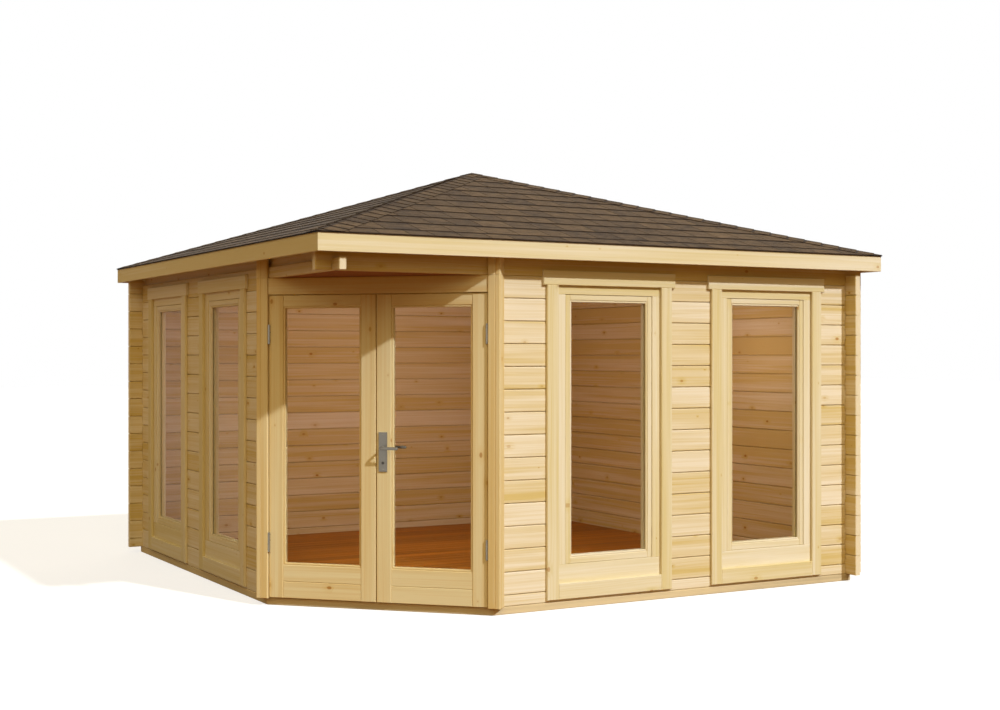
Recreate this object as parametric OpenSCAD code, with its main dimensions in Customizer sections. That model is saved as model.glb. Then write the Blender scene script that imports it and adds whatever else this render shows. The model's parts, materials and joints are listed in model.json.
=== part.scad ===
// Corner summer house built of interlocking wall logs, with a pyramid roof
// and double glazed doors across one cut-off corner. Millimetres, Z up.
// The origin is on the ground under the middle of the house. The front wall
// faces -Y, the left wall faces -X, and the doors face the corner between them.

/* [Walls] */
// Outside width and depth of the house over the wall faces
wall_size = 3800; // [3600:10:4400]
// Thickness of a wall log
log_thickness = 44; // [34:1:60]
// Face height of one log course
log_height = 135; // [125:1:145]
// Number of full courses in every wall
log_courses = 15; // [14:1:16]
// Length that the log ends run past the crossing wall
log_end = 100; // [60:5:160]
// Bevel along the edges of each log
log_bevel = 4; // [2:0.5:6]

/* [Base] */
// Height of the bearers and joists
bearer_height = 45; // [35:1:70]
// Width of the bearers under the walls
bearer_width = 95; // [80:1:120]
// Width of one floor joist
joist_width = 45; // [30:1:60]
// Number of floor joists
joist_count = 7; // [5:1:9]
// Thickness of the floor
floor_thickness = 19; // [15:1:28]
// Gap between the floor's edge and the walls
floor_gap = 6; // [3:1:12]

/* [Windows] */
// Width of the hole cut through the logs for each window
window_width = 790; // [740:5:840]
// Height from the top of the bearers to the foot of the window hole
window_foot = 68; // [50:1:90]
// Height from the window hole to the underside of the top front log
window_drop = 10; // [6:1:30]
// Bare wall beside the far window, as a share of that between the windows
corner_gap_share = 0.77; // [0.5:0.01:1.3]
// Depth of the window frame through the wall
window_depth = 70; // [60:1:90]
// Width of the fixed frame's members inside the casing
frame_member = 76; // [60:1:90]
// Height of the fixed frame's head
frame_head = 95; // [80:1:110]
// Height of the fixed frame's foot board
frame_foot = 154; // [120:1:180]
// Width of the sash members at the sides and the top
sash_member = 46; // [36:1:56]
// Height of the sash's foot rail
sash_foot_rail = 52; // [40:1:70]
// Distance that the sash lies behind the frame's face
sash_setback = 4; // [2:1:8]
// Width of the outside casing boards
casing_width = 80; // [60:1:90]
// Thickness of the outside casing boards
casing_thickness = 20; // [14:1:26]
// Overlap of the side casings on the window frame
casing_lap = 17; // [10:1:22]
// Overlap of the head casing on the window frame
head_lap = 41; // [30:1:50]
// Overlap of the foot casing on the window frame
foot_lap = 44; // [30:1:60]
// Height of the casing board over a window
casing_head = 89; // [70:1:110]
// Height of the casing board under a window
casing_foot = 97; // [80:1:110]
// Distance that the head casing runs past the side casings
casing_ear = 26; // [10:1:40]
// Thickness of every pane
glass_thickness = 6; // [4:0.5:10]
// Depth that the panes sit in their grooves
glass_bite = 12; // [8:1:16]
// Distance of the window panes behind the frames' faces
pane_depth = 24; // [16:1:36]

/* [Door opening] */
// Clear width between the door jambs
door_opening = 1400; // [1200:10:1500]
// Height of the head board over the doors
door_head_height = 102.5; // [60:0.5:160]
// Distance that the head board lies behind the faces of the jambs
head_setback = 6; // [0:1:10]
// Width of a jamb across the doorway
jamb_width = 46; // [36:1:60]
// Depth of the jambs through the doorway
jamb_depth = 145; // [120:1:160]
// Width of a corner post across the doorway
post_width = 28; // [20:1:40]
// Depth of the corner posts through the doorway
post_depth = 158; // [158:1:180]
// Distance that the posts stand out past the line where the wall ends
post_stand = 94; // [80:1:110]
// Width of the stop that the leaves close against
stop_width = 14; // [10:1:20]
// Height of the threshold over the bearers
threshold_height = 34; // [25:1:45]
// Distance that the bearer under the doors lies behind the post faces
door_bearer_setback = 41; // [20:1:60]
// Thickness of the porch ceiling boards
soffit_thickness = 18; // [12:1:25]

/* [Doors] */
// Thickness of a door leaf
leaf_thickness = 44; // [36:1:54]
// Distance that the leaves lie behind the face of the jambs
leaf_recess = 14; // [10:1:24]
// Gap around the leaves
leaf_gap = 5; // [5:0.5:8]
// Gap between the two leaves
meeting_gap = 7; // [7:0.5:10]
// Width of the leaf's stiles
stile_width = 105; // [90:1:120]
// Height of the leaf's top rail
top_rail = 80; // [60:1:110]
// Height of the leaf's foot boards together
foot_rail = 215; // [150:1:300]
// Distance that the rails lie behind the faces of the stiles
rail_setback = 2; // [1:0.5:4]

/* [Hinges and handle] */
// Radius of a hinge barrel
barrel_radius = 6.5; // [5:0.5:7]
// Length of one hinge over both barrels
hinge_length = 118; // [90:1:140]
// Height of the lower hinges' middle over the foot of the leaf
low_hinge_rise = 338; // [150:1:500]
// Distance of the upper hinges' middle below the top of the leaf
high_hinge_drop = 238; // [150:1:500]
// Radius of the hinge screws
hinge_screw_radius = 3; // [2:0.5:4]
// Length of the hinge screws
hinge_screw_length = 36; // [30:1:45]
// Distance between the two screws of a hinge half
hinge_screw_spacing = 35; // [20:1:36]
// Turn of the leaf's hinge screws away from straight in, in degrees
hinge_screw_turn = 30; // [20:1:40]
// Radius of the hinge pins
pin_radius = 3; // [2:0.5:3.5]
// Thickness of the cap over a hinge pin
pin_cap = 7; // [5:1:12]
// Distance of the hinge axis from the inside of the jamb
hinge_inset = 7; // [7:0.5:10]
// Height of the handle's spindle over the foot of the leaf
handle_rise = 926; // [800:1:1100]
// Distance of the spindle from the leaf's meeting edge
handle_backset = 42; // [36:1:52]
// Width of the handle plates
plate_width = 52; // [34:1:60]
// Height of the handle plates
plate_height = 236; // [180:1:260]
// Thickness of the handle plates
plate_thickness = 6; // [3:0.5:9]
// Distance from the spindle down to the lock cylinder
cylinder_drop = 90; // [72:1:92]
// Distance from the spindle up to the top of the plates
plate_rise = 94; // [60:1:110]
// Radius of the lock cylinder
cylinder_radius = 8.5; // [7:0.5:10]
// Distance that the lock cylinder stands out of the plates
cylinder_stand = 2; // [1:0.5:5]
// Length of the lever from the spindle to its end
lever_length = 112; // [90:1:130]
// Distance of the lever's arm from its plate
lever_stand = 50; // [30:1:60]
// Radius of the lever's arm
lever_radius = 8; // [6:0.5:10]

/* [Roof] */
// Distance of the fascia faces from the wall faces
eaves = 144; // [100:1:250]
// Slope of the roof in degrees
roof_pitch = 17.7; // [14:0.1:24]
// Height from the front wall's top to the roof boards, at the wall face
roof_rise = 88; // [70:1:120]
// Thickness of the roof plates
roof_plate_thickness = 44; // [36:1:60]
// Distance that the roof plates lie behind the wall faces
roof_plate_setback = 20; // [10:1:30]
// Thickness of the roof boards
deck_thickness = 18; // [15:1:24]
// Thickness of the shingle layer where its courses overlap
shingle_thickness = 12; // [8:0.5:16]
// Distance that the shingles run past the fascia
shingle_overhang = 6; // [2:1:15]
// Height of the fascia boards
fascia_height = 103; // [90:1:140]
// Thickness of the fascia boards
fascia_thickness = 20; // [16:1:26]
// Width of a rafter
rafter_width = 45; // [35:1:60]
// Depth of a rafter below the roof boards
rafter_depth = 95; // [70:1:120]
// Radius of the block under the roof's peak
peak_radius = 90; // [70:1:120]

/* [Hidden] */

// Small overlap of a cutting tool past the face that it cuts
cut = 1;
// Running clearance around the hinge pins and the handle's spindle
shaft_play = 0.1;
// Clearance of the hinge barrels from the leaf and the jamb, and of pin ends
hinge_play = 0.5;
// Clearance of the handle's spindle in the leaf's bore
bore_play = 1;
// Clearance of the porch ceiling over the door head
soffit_play = 0.1;
// Clearance between the sloping layers of the roof
layer_play = 0.1;
// Distance of the roof boards' points from the middle of the roof
peak_gap = 2;
half = wall_size / 2;
inner = half - log_thickness;
// Middle of the wall that crosses at a wall's end
crossing = half - log_thickness / 2;
log_reach = half + log_end;
wall_foot = bearer_height;
half_log = log_height / 2;
// Side walls start with a full course, the front and back with a half one
side_wall_top = wall_foot + log_courses * log_height;
cross_wall_top = side_wall_top + half_log;
top_log_foot = cross_wall_top - log_height;

window_hole_foot = wall_foot + window_foot;
window_hole_top = top_log_foot - window_drop;
frame_half = window_width / 2;
sash_half = frame_half - frame_member;
sight_half = sash_half - sash_member;
sash_top = window_hole_top - frame_head;
sash_foot = window_hole_foot + frame_foot;
sight_top = sash_top - sash_member;
sight_foot = sash_foot + sash_foot_rail;
casing_clear_half = frame_half - casing_lap;
casing_clear_top = window_hole_top - head_lap;
casing_clear_foot = window_hole_foot + foot_lap;
casing_half = casing_clear_half + casing_width;

// The doorway is drawn along X with the outside towards -Y, then turned
door_half = door_opening / 2;
post_inner = door_half + jamb_width;
post_outer = post_inner + post_width;
wall_line = half * sqrt(2);
door_face = wall_line - post_outer + post_stand;
door_head_foot = top_log_foot - door_head_height;
leaf_face = door_face - leaf_recess;
leaf_back = leaf_face - leaf_thickness;
stop_face = leaf_back - leaf_gap;
leaf_outer = door_half - leaf_gap;
leaf_inner = meeting_gap / 2;
leaf_width = leaf_outer - leaf_inner;
leaf_foot = wall_foot + leaf_gap;
leaf_top = door_head_foot - leaf_gap;
leaf_sight_left = leaf_inner + stile_width;
leaf_sight_right = leaf_outer - stile_width;
leaf_sight_foot = leaf_foot + foot_rail;
leaf_sight_top = leaf_top - top_rail;
low_hinge_z = leaf_foot + low_hinge_rise;
high_hinge_z = leaf_top - high_hinge_drop;
handle_z = leaf_foot + handle_rise;
hinge_x = door_half - hinge_inset;
hinge_y = leaf_face + barrel_radius + hinge_play;
spindle_x = leaf_inner + handle_backset;
door_bearer_face = door_face - door_bearer_setback;

// The windows stand in the wall from the corner post to the crossing wall
wall_start = post_outer * sqrt(2) - half;
casing_span = 2 * (casing_half + casing_ear);
bare_wall = inner - wall_start - 2 * casing_span;
window_gap = bare_wall / (2 + corner_gap_share);
near_window = wall_start + window_gap + casing_span / 2;
far_window = near_window + casing_span + window_gap;

slope = tan(roof_pitch);
deck_rise = deck_thickness / cos(roof_pitch);
shingle_rise = shingle_thickness / cos(roof_pitch);
roof_half = half + eaves;
// Heights of the roof surfaces at the middle of the house
deck_under_peak = cross_wall_top + roof_rise + slope * half;
timber_peak = deck_under_peak - layer_play;
deck_peak = deck_under_peak + deck_rise;
shingle_peak = deck_peak + shingle_rise;
fascia_top = deck_peak - slope * roof_half;
plate_outer = half - roof_plate_setback;
plate_inner = plate_outer - roof_plate_thickness;

// Outline of a stack of bevelled logs, thickness along X and height along Y
function log_side(foots, face, into) = [
    for (i = [0 : len(foots) - 2])
        each [
            [face - into, foots[i]],
            [face, foots[i] + log_bevel],
            [face, foots[i + 1] - log_bevel]
        ],
    [face - into, foots[len(foots) - 1]]
];
function reversed(points) = [for (i = [len(points) - 1 : -1 : 0]) points[i]];
function side_foots() = [for (i = [0 : log_courses]) wall_foot + i * log_height];
function cross_foots() = [
    wall_foot,
    for (i = [0 : log_courses]) wall_foot + half_log + i * log_height
];
function below(foots, top) = [for (z = foots) if (z < top + cut) z];

// A stack of logs along X, its outside face at y = -half
module log_stack(foots, from_x, to_x) {
    translate([from_x, -half, 0])
        rotate([90, 0, 90])
            linear_extrude(to_x - from_x)
                polygon(concat(
                    log_side(foots, log_thickness, log_bevel),
                    reversed(log_side(foots, 0, -log_bevel))));
}

// Room at one crossing for the logs of the other wall
module crossing_room(at_x, first, top) {
    for (z = [first : log_height : top])
        translate([at_x - log_thickness / 2, -half - cut, z])
            cube([log_thickness, log_thickness + 2 * cut, half_log]);
}

// Side logs cross the front and back walls, and the other way round
module side_log_room(at_x) {
    crossing_room(at_x, wall_foot + half_log / 2, side_wall_top - cut);
}

module cross_log_room(at_x) {
    crossing_room(at_x, wall_foot - half_log / 2, side_wall_top - cut);
}

module window_hole(at_x) {
    translate([at_x - frame_half, -half - cut, window_hole_foot])
        cube([window_width, log_thickness + 2 * cut, window_hole_top - window_hole_foot]);
}

// Everything on the doorway's side of the corner post's outer side
module porch_room() {
    rotate([0, 0, -45])
        translate([-2 * half, -2 * half, -cut])
            cube([2 * half + post_outer, 4 * half, shingle_peak]);
}

module mirror_to_left() {
    mirror([1, -1, 0]) children();
}

module in_doorway() {
    rotate([0, 0, -45]) children();
}

module base_outline(inset) {
    reach = half - inset;
    difference() {
        square(2 * reach, center = true);
        rotate(-45)
            translate([-2 * half, -door_bearer_face + inset - 2 * half])
                square([4 * half, 2 * half]);
    }
}

module base_frame() {
    color("burlywood")
        linear_extrude(bearer_height) {
            difference() {
                base_outline(0);
                base_outline(bearer_width);
            }
            intersection() {
                base_outline(bearer_width / 2);
                for (i = [1 : joist_count])
                    translate([-half, -half + i * wall_size / (joist_count + 1) - joist_width / 2])
                        square([wall_size, joist_width]);
            }
        }
}

module floor_boards() {
    color("chocolate")
        translate([0, 0, wall_foot])
            linear_extrude(floor_thickness)
                difference() {
                    square(2 * (inner - floor_gap), center = true);
                    rotate(-45)
                        translate([-2 * half, -door_face + jamb_depth + floor_gap - 2 * half])
                            square([4 * half, 2 * half]);
                    for (side = [-1, 1])
                        rotate(-45)
                            translate([side * post_inner + (side < 0 ? -post_width : 0) - floor_gap,
                                    -door_face])
                                square([post_width + 2 * floor_gap, post_depth + floor_gap]);
                }
}

module front_wall() {
    color("wheat")
        difference() {
            log_stack(below(cross_foots(), top_log_foot), -half, log_reach);
            side_log_room(crossing);
            window_hole(near_window);
            window_hole(far_window);
            porch_room();
        }
}

module left_wall() {
    color("burlywood")
        mirror_to_left()
            difference() {
                log_stack(below(side_foots(), side_wall_top - log_height), -half, log_reach);
                cross_log_room(crossing);
                window_hole(near_window);
                window_hole(far_window);
                porch_room();
            }
}

module back_wall() {
    color("burlywood")
        mirror([0, 1, 0])
            difference() {
                log_stack(cross_foots(), -log_reach, log_reach);
                side_log_room(crossing);
                side_log_room(-crossing);
            }
}

module right_wall() {
    color("burlywood")
        mirror([1, 0, 0])
            mirror_to_left()
                difference() {
                    log_stack(side_foots(), -log_reach, log_reach);
                    cross_log_room(crossing);
                    cross_log_room(-crossing);
                }
}

// The top front log runs on over the doorway to the outer corner
module front_top_log() {
    color("wheat")
        difference() {
            log_stack([top_log_foot, cross_wall_top], -log_reach, log_reach);
            crossing_room(crossing, top_log_foot - half_log / 2, top_log_foot);
            translate([-half, -half - cut, top_log_foot - cut])
                cube([log_thickness, log_thickness + 2 * cut, half_log / 2 + cut]);
        }
}

// The top left log is ripped to half its height over the doorway
module left_top_log() {
    color("burlywood")
        mirror_to_left()
            difference() {
                log_stack([side_wall_top - log_height, side_wall_top], -log_reach, log_reach);
                cross_log_room(crossing);
                window_hole(near_window);
                window_hole(far_window);
                intersection() {
                    porch_room();
                    translate([-2 * half, -2 * half, 0])
                        cube([4 * half, 2 * half, top_log_foot]);
                }
                translate([-half, -half - cut, top_log_foot + half_log / 2])
                    cube([log_thickness, log_thickness + 2 * cut, log_height]);
            }
}

// The space below the roof boards, out to the given distance from the middle
module under_roof(reach, peak, foot) {
    intersection_for (turn = [0, 90])
        rotate([0, 0, turn])
            translate([0, reach, 0])
                rotate([90, 0, 0])
                    linear_extrude(2 * reach)
                        polygon([
                            [-reach, foot],
                            [reach, foot],
                            [reach, peak - slope * reach],
                            [0, peak],
                            [-reach, peak - slope * reach]]);
}

// One straight roof plate along X over the front wall, mitred at both ends
module plate_side(foot) {
    intersection() {
        under_roof(plate_outer, timber_peak, foot);
        linear_extrude(shingle_peak)
            polygon([
                [-plate_outer, -plate_outer],
                [plate_outer, -plate_outer],
                [plate_inner, -plate_inner],
                [-plate_inner, -plate_inner]]);
    }
}

module front_back_plates() {
    color("tan")
        for (turn = [0, 180])
            rotate([0, 0, turn]) plate_side(cross_wall_top);
}

// The side plates sit lower, and fit between the front and back walls there
module side_plates() {
    color("tan")
        for (turn = [90, 270])
            rotate([0, 0, turn])
                difference() {
                    plate_side(side_wall_top);
                    for (end = [-1, 1])
                        translate([end * (inner + half) - half, -2 * half, side_wall_top - cut])
                            cube([2 * half, 4 * half, half_log + cut]);
                }
}

// The part of a post that stands in front of the top logs
module before_logs() {
    intersection() {
        children();
        linear_extrude(shingle_peak)
            difference() {
                square(4 * half, center = true);
                rotate(45)
                    square(2 * half, center = true);
            }
    }
}

module below_logs() {
    intersection() {
        children();
        translate([-2 * half, -2 * half, 0])
            cube([4 * half, 4 * half, top_log_foot]);
    }
}

// A board on end beside the doorway, side is -1 for the left and 1 for the right
module upright(side, from_x, to_x, depth) {
    translate([side > 0 ? from_x : -to_x, -door_face, wall_foot])
        cube([to_x - from_x, depth, deck_under_peak - wall_foot]);
}

// Upright that carries the top logs and runs on before them to the roof
module notched_upright(side, from_x, to_x, depth) {
    intersection() {
        in_doorway()
            union() {
                below_logs() upright(side, from_x, to_x, depth);
                before_logs() upright(side, from_x, to_x, depth);
            }
        under_roof(roof_half, timber_peak, 0);
    }
}

module corner_post(side) {
    color("wheat")
        notched_upright(side, post_inner, post_outer, post_depth);
}

module left_corner_post() {
    corner_post(-1);
}

module right_corner_post() {
    corner_post(1);
}

module door_jamb(side) {
    color("wheat")
        difference() {
            union() {
                notched_upright(side, door_half, post_inner, jamb_depth);
                in_doorway()
                    translate([side > 0 ? door_half - stop_width : -door_half,
                            -stop_face, wall_foot])
                        cube([stop_width, stop_face - door_face + jamb_depth,
                            door_head_foot - wall_foot]);
            }
            jamb_screws(side);
        }
}

module left_door_jamb() {
    door_jamb(-1);
}

module right_door_jamb() {
    door_jamb(1);
}

module door_head() {
    color("wheat")
        in_doorway() {
            translate([-door_half, -door_face + head_setback, door_head_foot])
                cube([door_opening, jamb_depth - head_setback, door_head_height]);
            translate([-door_half + stop_width, -stop_face, door_head_foot - stop_width])
                cube([door_opening - 2 * stop_width, stop_face - door_face + jamb_depth,
                    stop_width + cut]);
        }
}

module door_threshold() {
    color("tan")
        in_doorway()
            translate([-door_half + stop_width, -stop_face, wall_foot])
                cube([door_opening - 2 * stop_width, stop_face - door_face + jamb_depth,
                    threshold_height]);
}

module porch_soffit() {
    color("sienna")
        translate([0, 0, top_log_foot + soffit_play])
            linear_extrude(soffit_thickness)
                intersection() {
                    square(2 * inner, center = true);
                    rotate(-45)
                        translate([-2 * half, -2 * wall_line])
                            square([4 * half, 2 * wall_line - door_face + jamb_depth]);
                }
}

// Rectangle with its middle line at the given place, in the plane of a wall
module board(at_x, half_width, foot, top, face, thickness) {
    translate([at_x - half_width, -half - face, foot])
        cube([2 * half_width, thickness, top - foot]);
}

module window_casing(at_x) {
    foot = casing_clear_foot - casing_foot;
    color("wheat")
        difference() {
            union() {
                board(at_x, casing_half, foot, casing_clear_top, casing_thickness, casing_thickness);
                board(at_x, casing_half + casing_ear, casing_clear_top,
                    casing_clear_top + casing_head, casing_thickness, casing_thickness);
            }
            board(at_x, casing_clear_half, casing_clear_foot, casing_clear_top,
                casing_thickness + cut, casing_thickness + 2 * cut);
        }
}

module window_frame(at_x) {
    color("wheat")
        difference() {
            board(at_x, frame_half, window_hole_foot, window_hole_top, 0, window_depth);
            board(at_x, sash_half, sash_foot, sash_top, cut, cut + sash_setback);
            board(at_x, sight_half, sight_foot, sight_top, cut, window_depth + 2 * cut);
            board(at_x, sight_half + glass_bite, sight_foot - glass_bite,
                sight_top + glass_bite, -pane_depth, glass_thickness);
        }
}

module window_pane(at_x) {
    color("lightcyan", 0.4)
        board(at_x, sight_half + glass_bite, sight_foot - glass_bite,
            sight_top + glass_bite, -pane_depth, glass_thickness);
}

module front_near_window_casing() {
    window_casing(near_window);
}

module front_near_window_frame() {
    window_frame(near_window);
}

module front_far_window_casing() {
    window_casing(far_window);
}

module front_far_window_frame() {
    window_frame(far_window);
}

module left_near_window_casing() {
    mirror_to_left() window_casing(near_window);
}

module left_near_window_frame() {
    mirror_to_left() window_frame(near_window);
}

module left_far_window_casing() {
    mirror_to_left() window_casing(far_window);
}

module left_far_window_frame() {
    mirror_to_left() window_frame(far_window);
}

module front_window_glass() {
    window_pane(near_window);
    window_pane(far_window);
}

module left_window_glass() {
    mirror_to_left() front_window_glass();
}

// Doors are drawn for the right leaf, and mirrored for the left one
module on_side(side) {
    in_doorway()
        mirror([side < 0 ? 1 : 0, 0, 0]) children();
}

module leaf_pane_room() {
    translate([leaf_sight_left - glass_bite, -leaf_face + (leaf_thickness - glass_thickness) / 2,
            leaf_sight_foot - glass_bite])
        cube([leaf_sight_right - leaf_sight_left + 2 * glass_bite, glass_thickness,
            leaf_sight_top - leaf_sight_foot + 2 * glass_bite]);
}

module door_leaf(side) {
    color("wheat")
        difference() {
            on_side(side)
                difference() {
                    translate([leaf_inner, -leaf_face, leaf_foot])
                        cube([leaf_width, leaf_thickness, leaf_top - leaf_foot]);
                    translate([leaf_sight_left, -leaf_face - cut, leaf_sight_foot])
                        cube([leaf_sight_right - leaf_sight_left, leaf_thickness + 2 * cut,
                            leaf_sight_top - leaf_sight_foot]);
                    for (face = [-leaf_face - cut, -leaf_back - rail_setback])
                        for (span = [[leaf_foot - cut, leaf_sight_foot + cut],
                                [leaf_sight_top - cut, leaf_top + cut]])
                            translate([leaf_sight_left, face, span[0]])
                                cube([leaf_sight_right - leaf_sight_left, rail_setback + cut,
                                    span[1] - span[0]]);
                    leaf_pane_room();
                    if (side > 0)
                        lock_bores(bore_play);
                }
            leaf_screws(side);
        }
}

// Bores for the spindle and the lock cylinder through the leaf and its plates
module lock_bores(play) {
    depth = leaf_thickness + 2 * plate_thickness + 2 * cut;
    translate([spindle_x, -leaf_face - plate_thickness - cut, handle_z])
        rotate([-90, 0, 0]) {
            cylinder(r = lever_radius + play, h = depth, $fn = 48);
            translate([0, cylinder_drop, 0])
                cylinder(r = cylinder_radius, h = depth, $fn = 48);
        }
}

module left_door_leaf() {
    door_leaf(-1);
}

module right_door_leaf() {
    door_leaf(1);
}

module door_pane(side) {
    color("lightcyan", 0.4)
        on_side(side) leaf_pane_room();
}

module left_door_glass() {
    door_pane(-1);
}

module right_door_glass() {
    door_pane(1);
}

// The screws of the hinge halves on one leaf's side, from the hinge axis
module hinge_screws(side, rise, direction) {
    on_side(side)
        for (z = [low_hinge_z, high_hinge_z])
            for (step = [-1, 1])
                translate([hinge_x, -hinge_y, z + rise + step * hinge_screw_spacing / 2])
                    rotate(direction)
                        cylinder(r = hinge_screw_radius, h = hinge_screw_length, $fn = 32);
}

module jamb_screws(side) {
    hinge_screws(side, -hinge_length / 4, [0, 90, 0]);
}

module leaf_screws(side) {
    hinge_screws(side, hinge_length / 4, [-90, 0, hinge_screw_turn]);
}

// An upright round length on the hinge axis
module hinge_round(radius, from_z, to_z) {
    translate([hinge_x, -hinge_y, from_z])
        cylinder(r = radius, h = to_z - from_z, $fn = 48);
}

module jamb_hinges() {
    color("silver")
        for (side = [-1, 1]) {
            on_side(side)
                for (z = [low_hinge_z, high_hinge_z]) {
                    foot = z - hinge_length / 2;
                    pin_end = z + hinge_length / 2 - pin_cap - 2 * hinge_play;
                    hinge_round(barrel_radius, foot, z - hinge_play);
                    hinge_round(pin_radius, foot, pin_end);
                }
            jamb_screws(side);
        }
}

module leaf_hinges(side) {
    color("silver")
        difference() {
            union() {
                on_side(side)
                    for (z = [low_hinge_z, high_hinge_z])
                        hinge_round(barrel_radius, z + hinge_play, z + hinge_length / 2);
                leaf_screws(side);
            }
            on_side(side)
                for (z = [low_hinge_z, high_hinge_z])
                    hinge_round(pin_radius + shaft_play, z - cut, z + hinge_length / 2 - pin_cap);
        }
}

module left_leaf_hinges() {
    leaf_hinges(-1);
}

module right_leaf_hinges() {
    leaf_hinges(1);
}

module handle_plates() {
    color("dimgray")
        in_doorway()
            difference() {
                for (y = [-leaf_face - plate_thickness, -leaf_back])
                    translate([spindle_x - plate_width / 2, y, handle_z + plate_rise - plate_height])
                        cube([plate_width, plate_thickness, plate_height]);
                lock_bores(shaft_play);
            }
}

module lock_cylinder() {
    stand = plate_thickness + cylinder_stand;
    color("silver")
        in_doorway()
            translate([spindle_x, -leaf_face - stand, handle_z - cylinder_drop])
                rotate([-90, 0, 0])
                    cylinder(r = cylinder_radius, h = leaf_thickness + 2 * stand, $fn = 48);
}

// Spindle with a lever arm on each side, both pointing to the hinges
module handle_lever() {
    neck = plate_thickness + lever_stand;
    color("silver")
        in_doorway()
            translate([spindle_x, 0, handle_z]) {
                translate([0, -leaf_face - neck - lever_radius, 0])
                    rotate([-90, 0, 0])
                        cylinder(r = lever_radius, h = leaf_thickness + 2 * neck + 2 * lever_radius,
                            $fn = 48);
                for (y = [-leaf_face - neck, -leaf_back + neck])
                    translate([0, y, 0])
                        rotate([0, 90, 0])
                            cylinder(r = lever_radius, h = lever_length, $fn = 48);
            }
}

// One slope of roof boards over the front wall, mitred at the hips
module roof_boards(turn) {
    edge = roof_half - fascia_thickness;
    color("peru")
        rotate([0, 0, turn])
            intersection() {
                difference() {
                    under_roof(edge, deck_peak, fascia_top - fascia_height);
                    under_roof(edge + cut, deck_under_peak, fascia_top - fascia_height - cut);
                }
                linear_extrude(shingle_peak)
                    polygon([
                        [-edge - cut, -edge - cut],
                        [edge + cut, -edge - cut],
                        [peak_gap, -peak_gap],
                        [-peak_gap, -peak_gap]]);
            }
}

module front_back_roof_boards() {
    for (turn = [0, 180])
        roof_boards(turn);
}

module side_roof_boards() {
    for (turn = [90, 270])
        roof_boards(turn);
}

module roof_shingles() {
    edge = roof_half + shingle_overhang;
    foot = fascia_top - fascia_height;
    color("dimgray")
        difference() {
            under_roof(edge, shingle_peak, foot);
            under_roof(edge + cut, deck_peak + layer_play, foot - cut);
        }
}

module rafter(reach) {
    translate([0, rafter_width / 2, 0])
        rotate([90, 0, 0])
            linear_extrude(rafter_width)
                polygon([
                    [0, deck_under_peak],
                    [reach, deck_under_peak],
                    [reach, 0],
                    [0, 0]]);
}

module roof_rafters() {
    color("tan")
        difference() {
            intersection() {
                under_roof(plate_inner, timber_peak, cross_wall_top - log_height);
                union() {
                    for (turn = [0 : 45 : 315])
                        rotate([0, 0, turn]) rafter(2 * half);
                    cylinder(r = peak_radius, h = shingle_peak, $fn = 8);
                }
            }
            under_roof(half, deck_under_peak - rafter_depth / cos(roof_pitch), 0);
        }
}

module fascia(turn) {
    color("wheat")
        rotate([0, 0, turn])
            translate([0, 0, fascia_top - fascia_height])
                linear_extrude(fascia_height)
                    polygon([
                        [-roof_half, -roof_half],
                        [roof_half, -roof_half],
                        [roof_half - fascia_thickness, -roof_half + fascia_thickness],
                        [-roof_half + fascia_thickness, -roof_half + fascia_thickness]]);
}

module front_fascia() {
    fascia(0);
}

module left_fascia() {
    fascia(-90);
}

module back_fascia() {
    fascia(180);
}

module right_fascia() {
    fascia(90);
}

base_frame();
floor_boards();
front_wall();
left_wall();
back_wall();
right_wall();
front_top_log();
left_top_log();
front_back_plates();
side_plates();
left_corner_post();
right_corner_post();
left_door_jamb();
right_door_jamb();
door_head();
door_threshold();
porch_soffit();
front_near_window_casing();
front_near_window_frame();
front_far_window_casing();
front_far_window_frame();
left_near_window_casing();
left_near_window_frame();
left_far_window_casing();
left_far_window_frame();
front_window_glass();
left_window_glass();
left_door_leaf();
right_door_leaf();
left_door_glass();
right_door_glass();
jamb_hinges();
left_leaf_hinges();
right_leaf_hinges();
handle_plates();
lock_cylinder();
handle_lever();
front_back_roof_boards();
side_roof_boards();
roof_rafters();
roof_shingles();
front_fascia();
left_fascia();
back_fascia();
right_fascia();
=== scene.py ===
"""Corner summer house: dresses the packed model with its logs, boards, joinery and roof."""

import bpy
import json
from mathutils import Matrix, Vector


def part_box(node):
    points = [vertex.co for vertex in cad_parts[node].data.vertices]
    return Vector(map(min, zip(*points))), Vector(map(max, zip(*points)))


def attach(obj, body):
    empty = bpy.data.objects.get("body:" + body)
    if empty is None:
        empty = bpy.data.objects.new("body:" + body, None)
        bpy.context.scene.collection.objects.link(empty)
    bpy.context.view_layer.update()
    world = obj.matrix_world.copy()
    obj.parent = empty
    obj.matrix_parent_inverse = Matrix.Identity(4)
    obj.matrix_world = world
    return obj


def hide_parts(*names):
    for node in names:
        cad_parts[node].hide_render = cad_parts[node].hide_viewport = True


bl_info = {
    "name": "Corner summer house",
    "version": (1, 0, 0),
    "blender": (4, 5, 0),
    "location": "View3D > Sidebar > Summer house",
    "description": "Builds the logs, windows, doors, roof and stage round the packed model",
    "category": "Add Mesh",
}

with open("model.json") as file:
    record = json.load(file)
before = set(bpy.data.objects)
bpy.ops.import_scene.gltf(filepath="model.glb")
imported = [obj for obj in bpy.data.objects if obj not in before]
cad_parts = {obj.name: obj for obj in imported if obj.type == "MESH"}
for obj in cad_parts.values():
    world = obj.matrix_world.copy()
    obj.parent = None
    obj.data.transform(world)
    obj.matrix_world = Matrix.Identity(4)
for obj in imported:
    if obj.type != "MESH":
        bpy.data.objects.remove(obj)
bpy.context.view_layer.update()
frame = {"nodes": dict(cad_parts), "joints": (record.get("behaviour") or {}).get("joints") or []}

import json
import math
import random

import bmesh
import bpy
from bpy.props import FloatProperty, FloatVectorProperty, PointerProperty
from mathutils import Matrix, Vector

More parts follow.
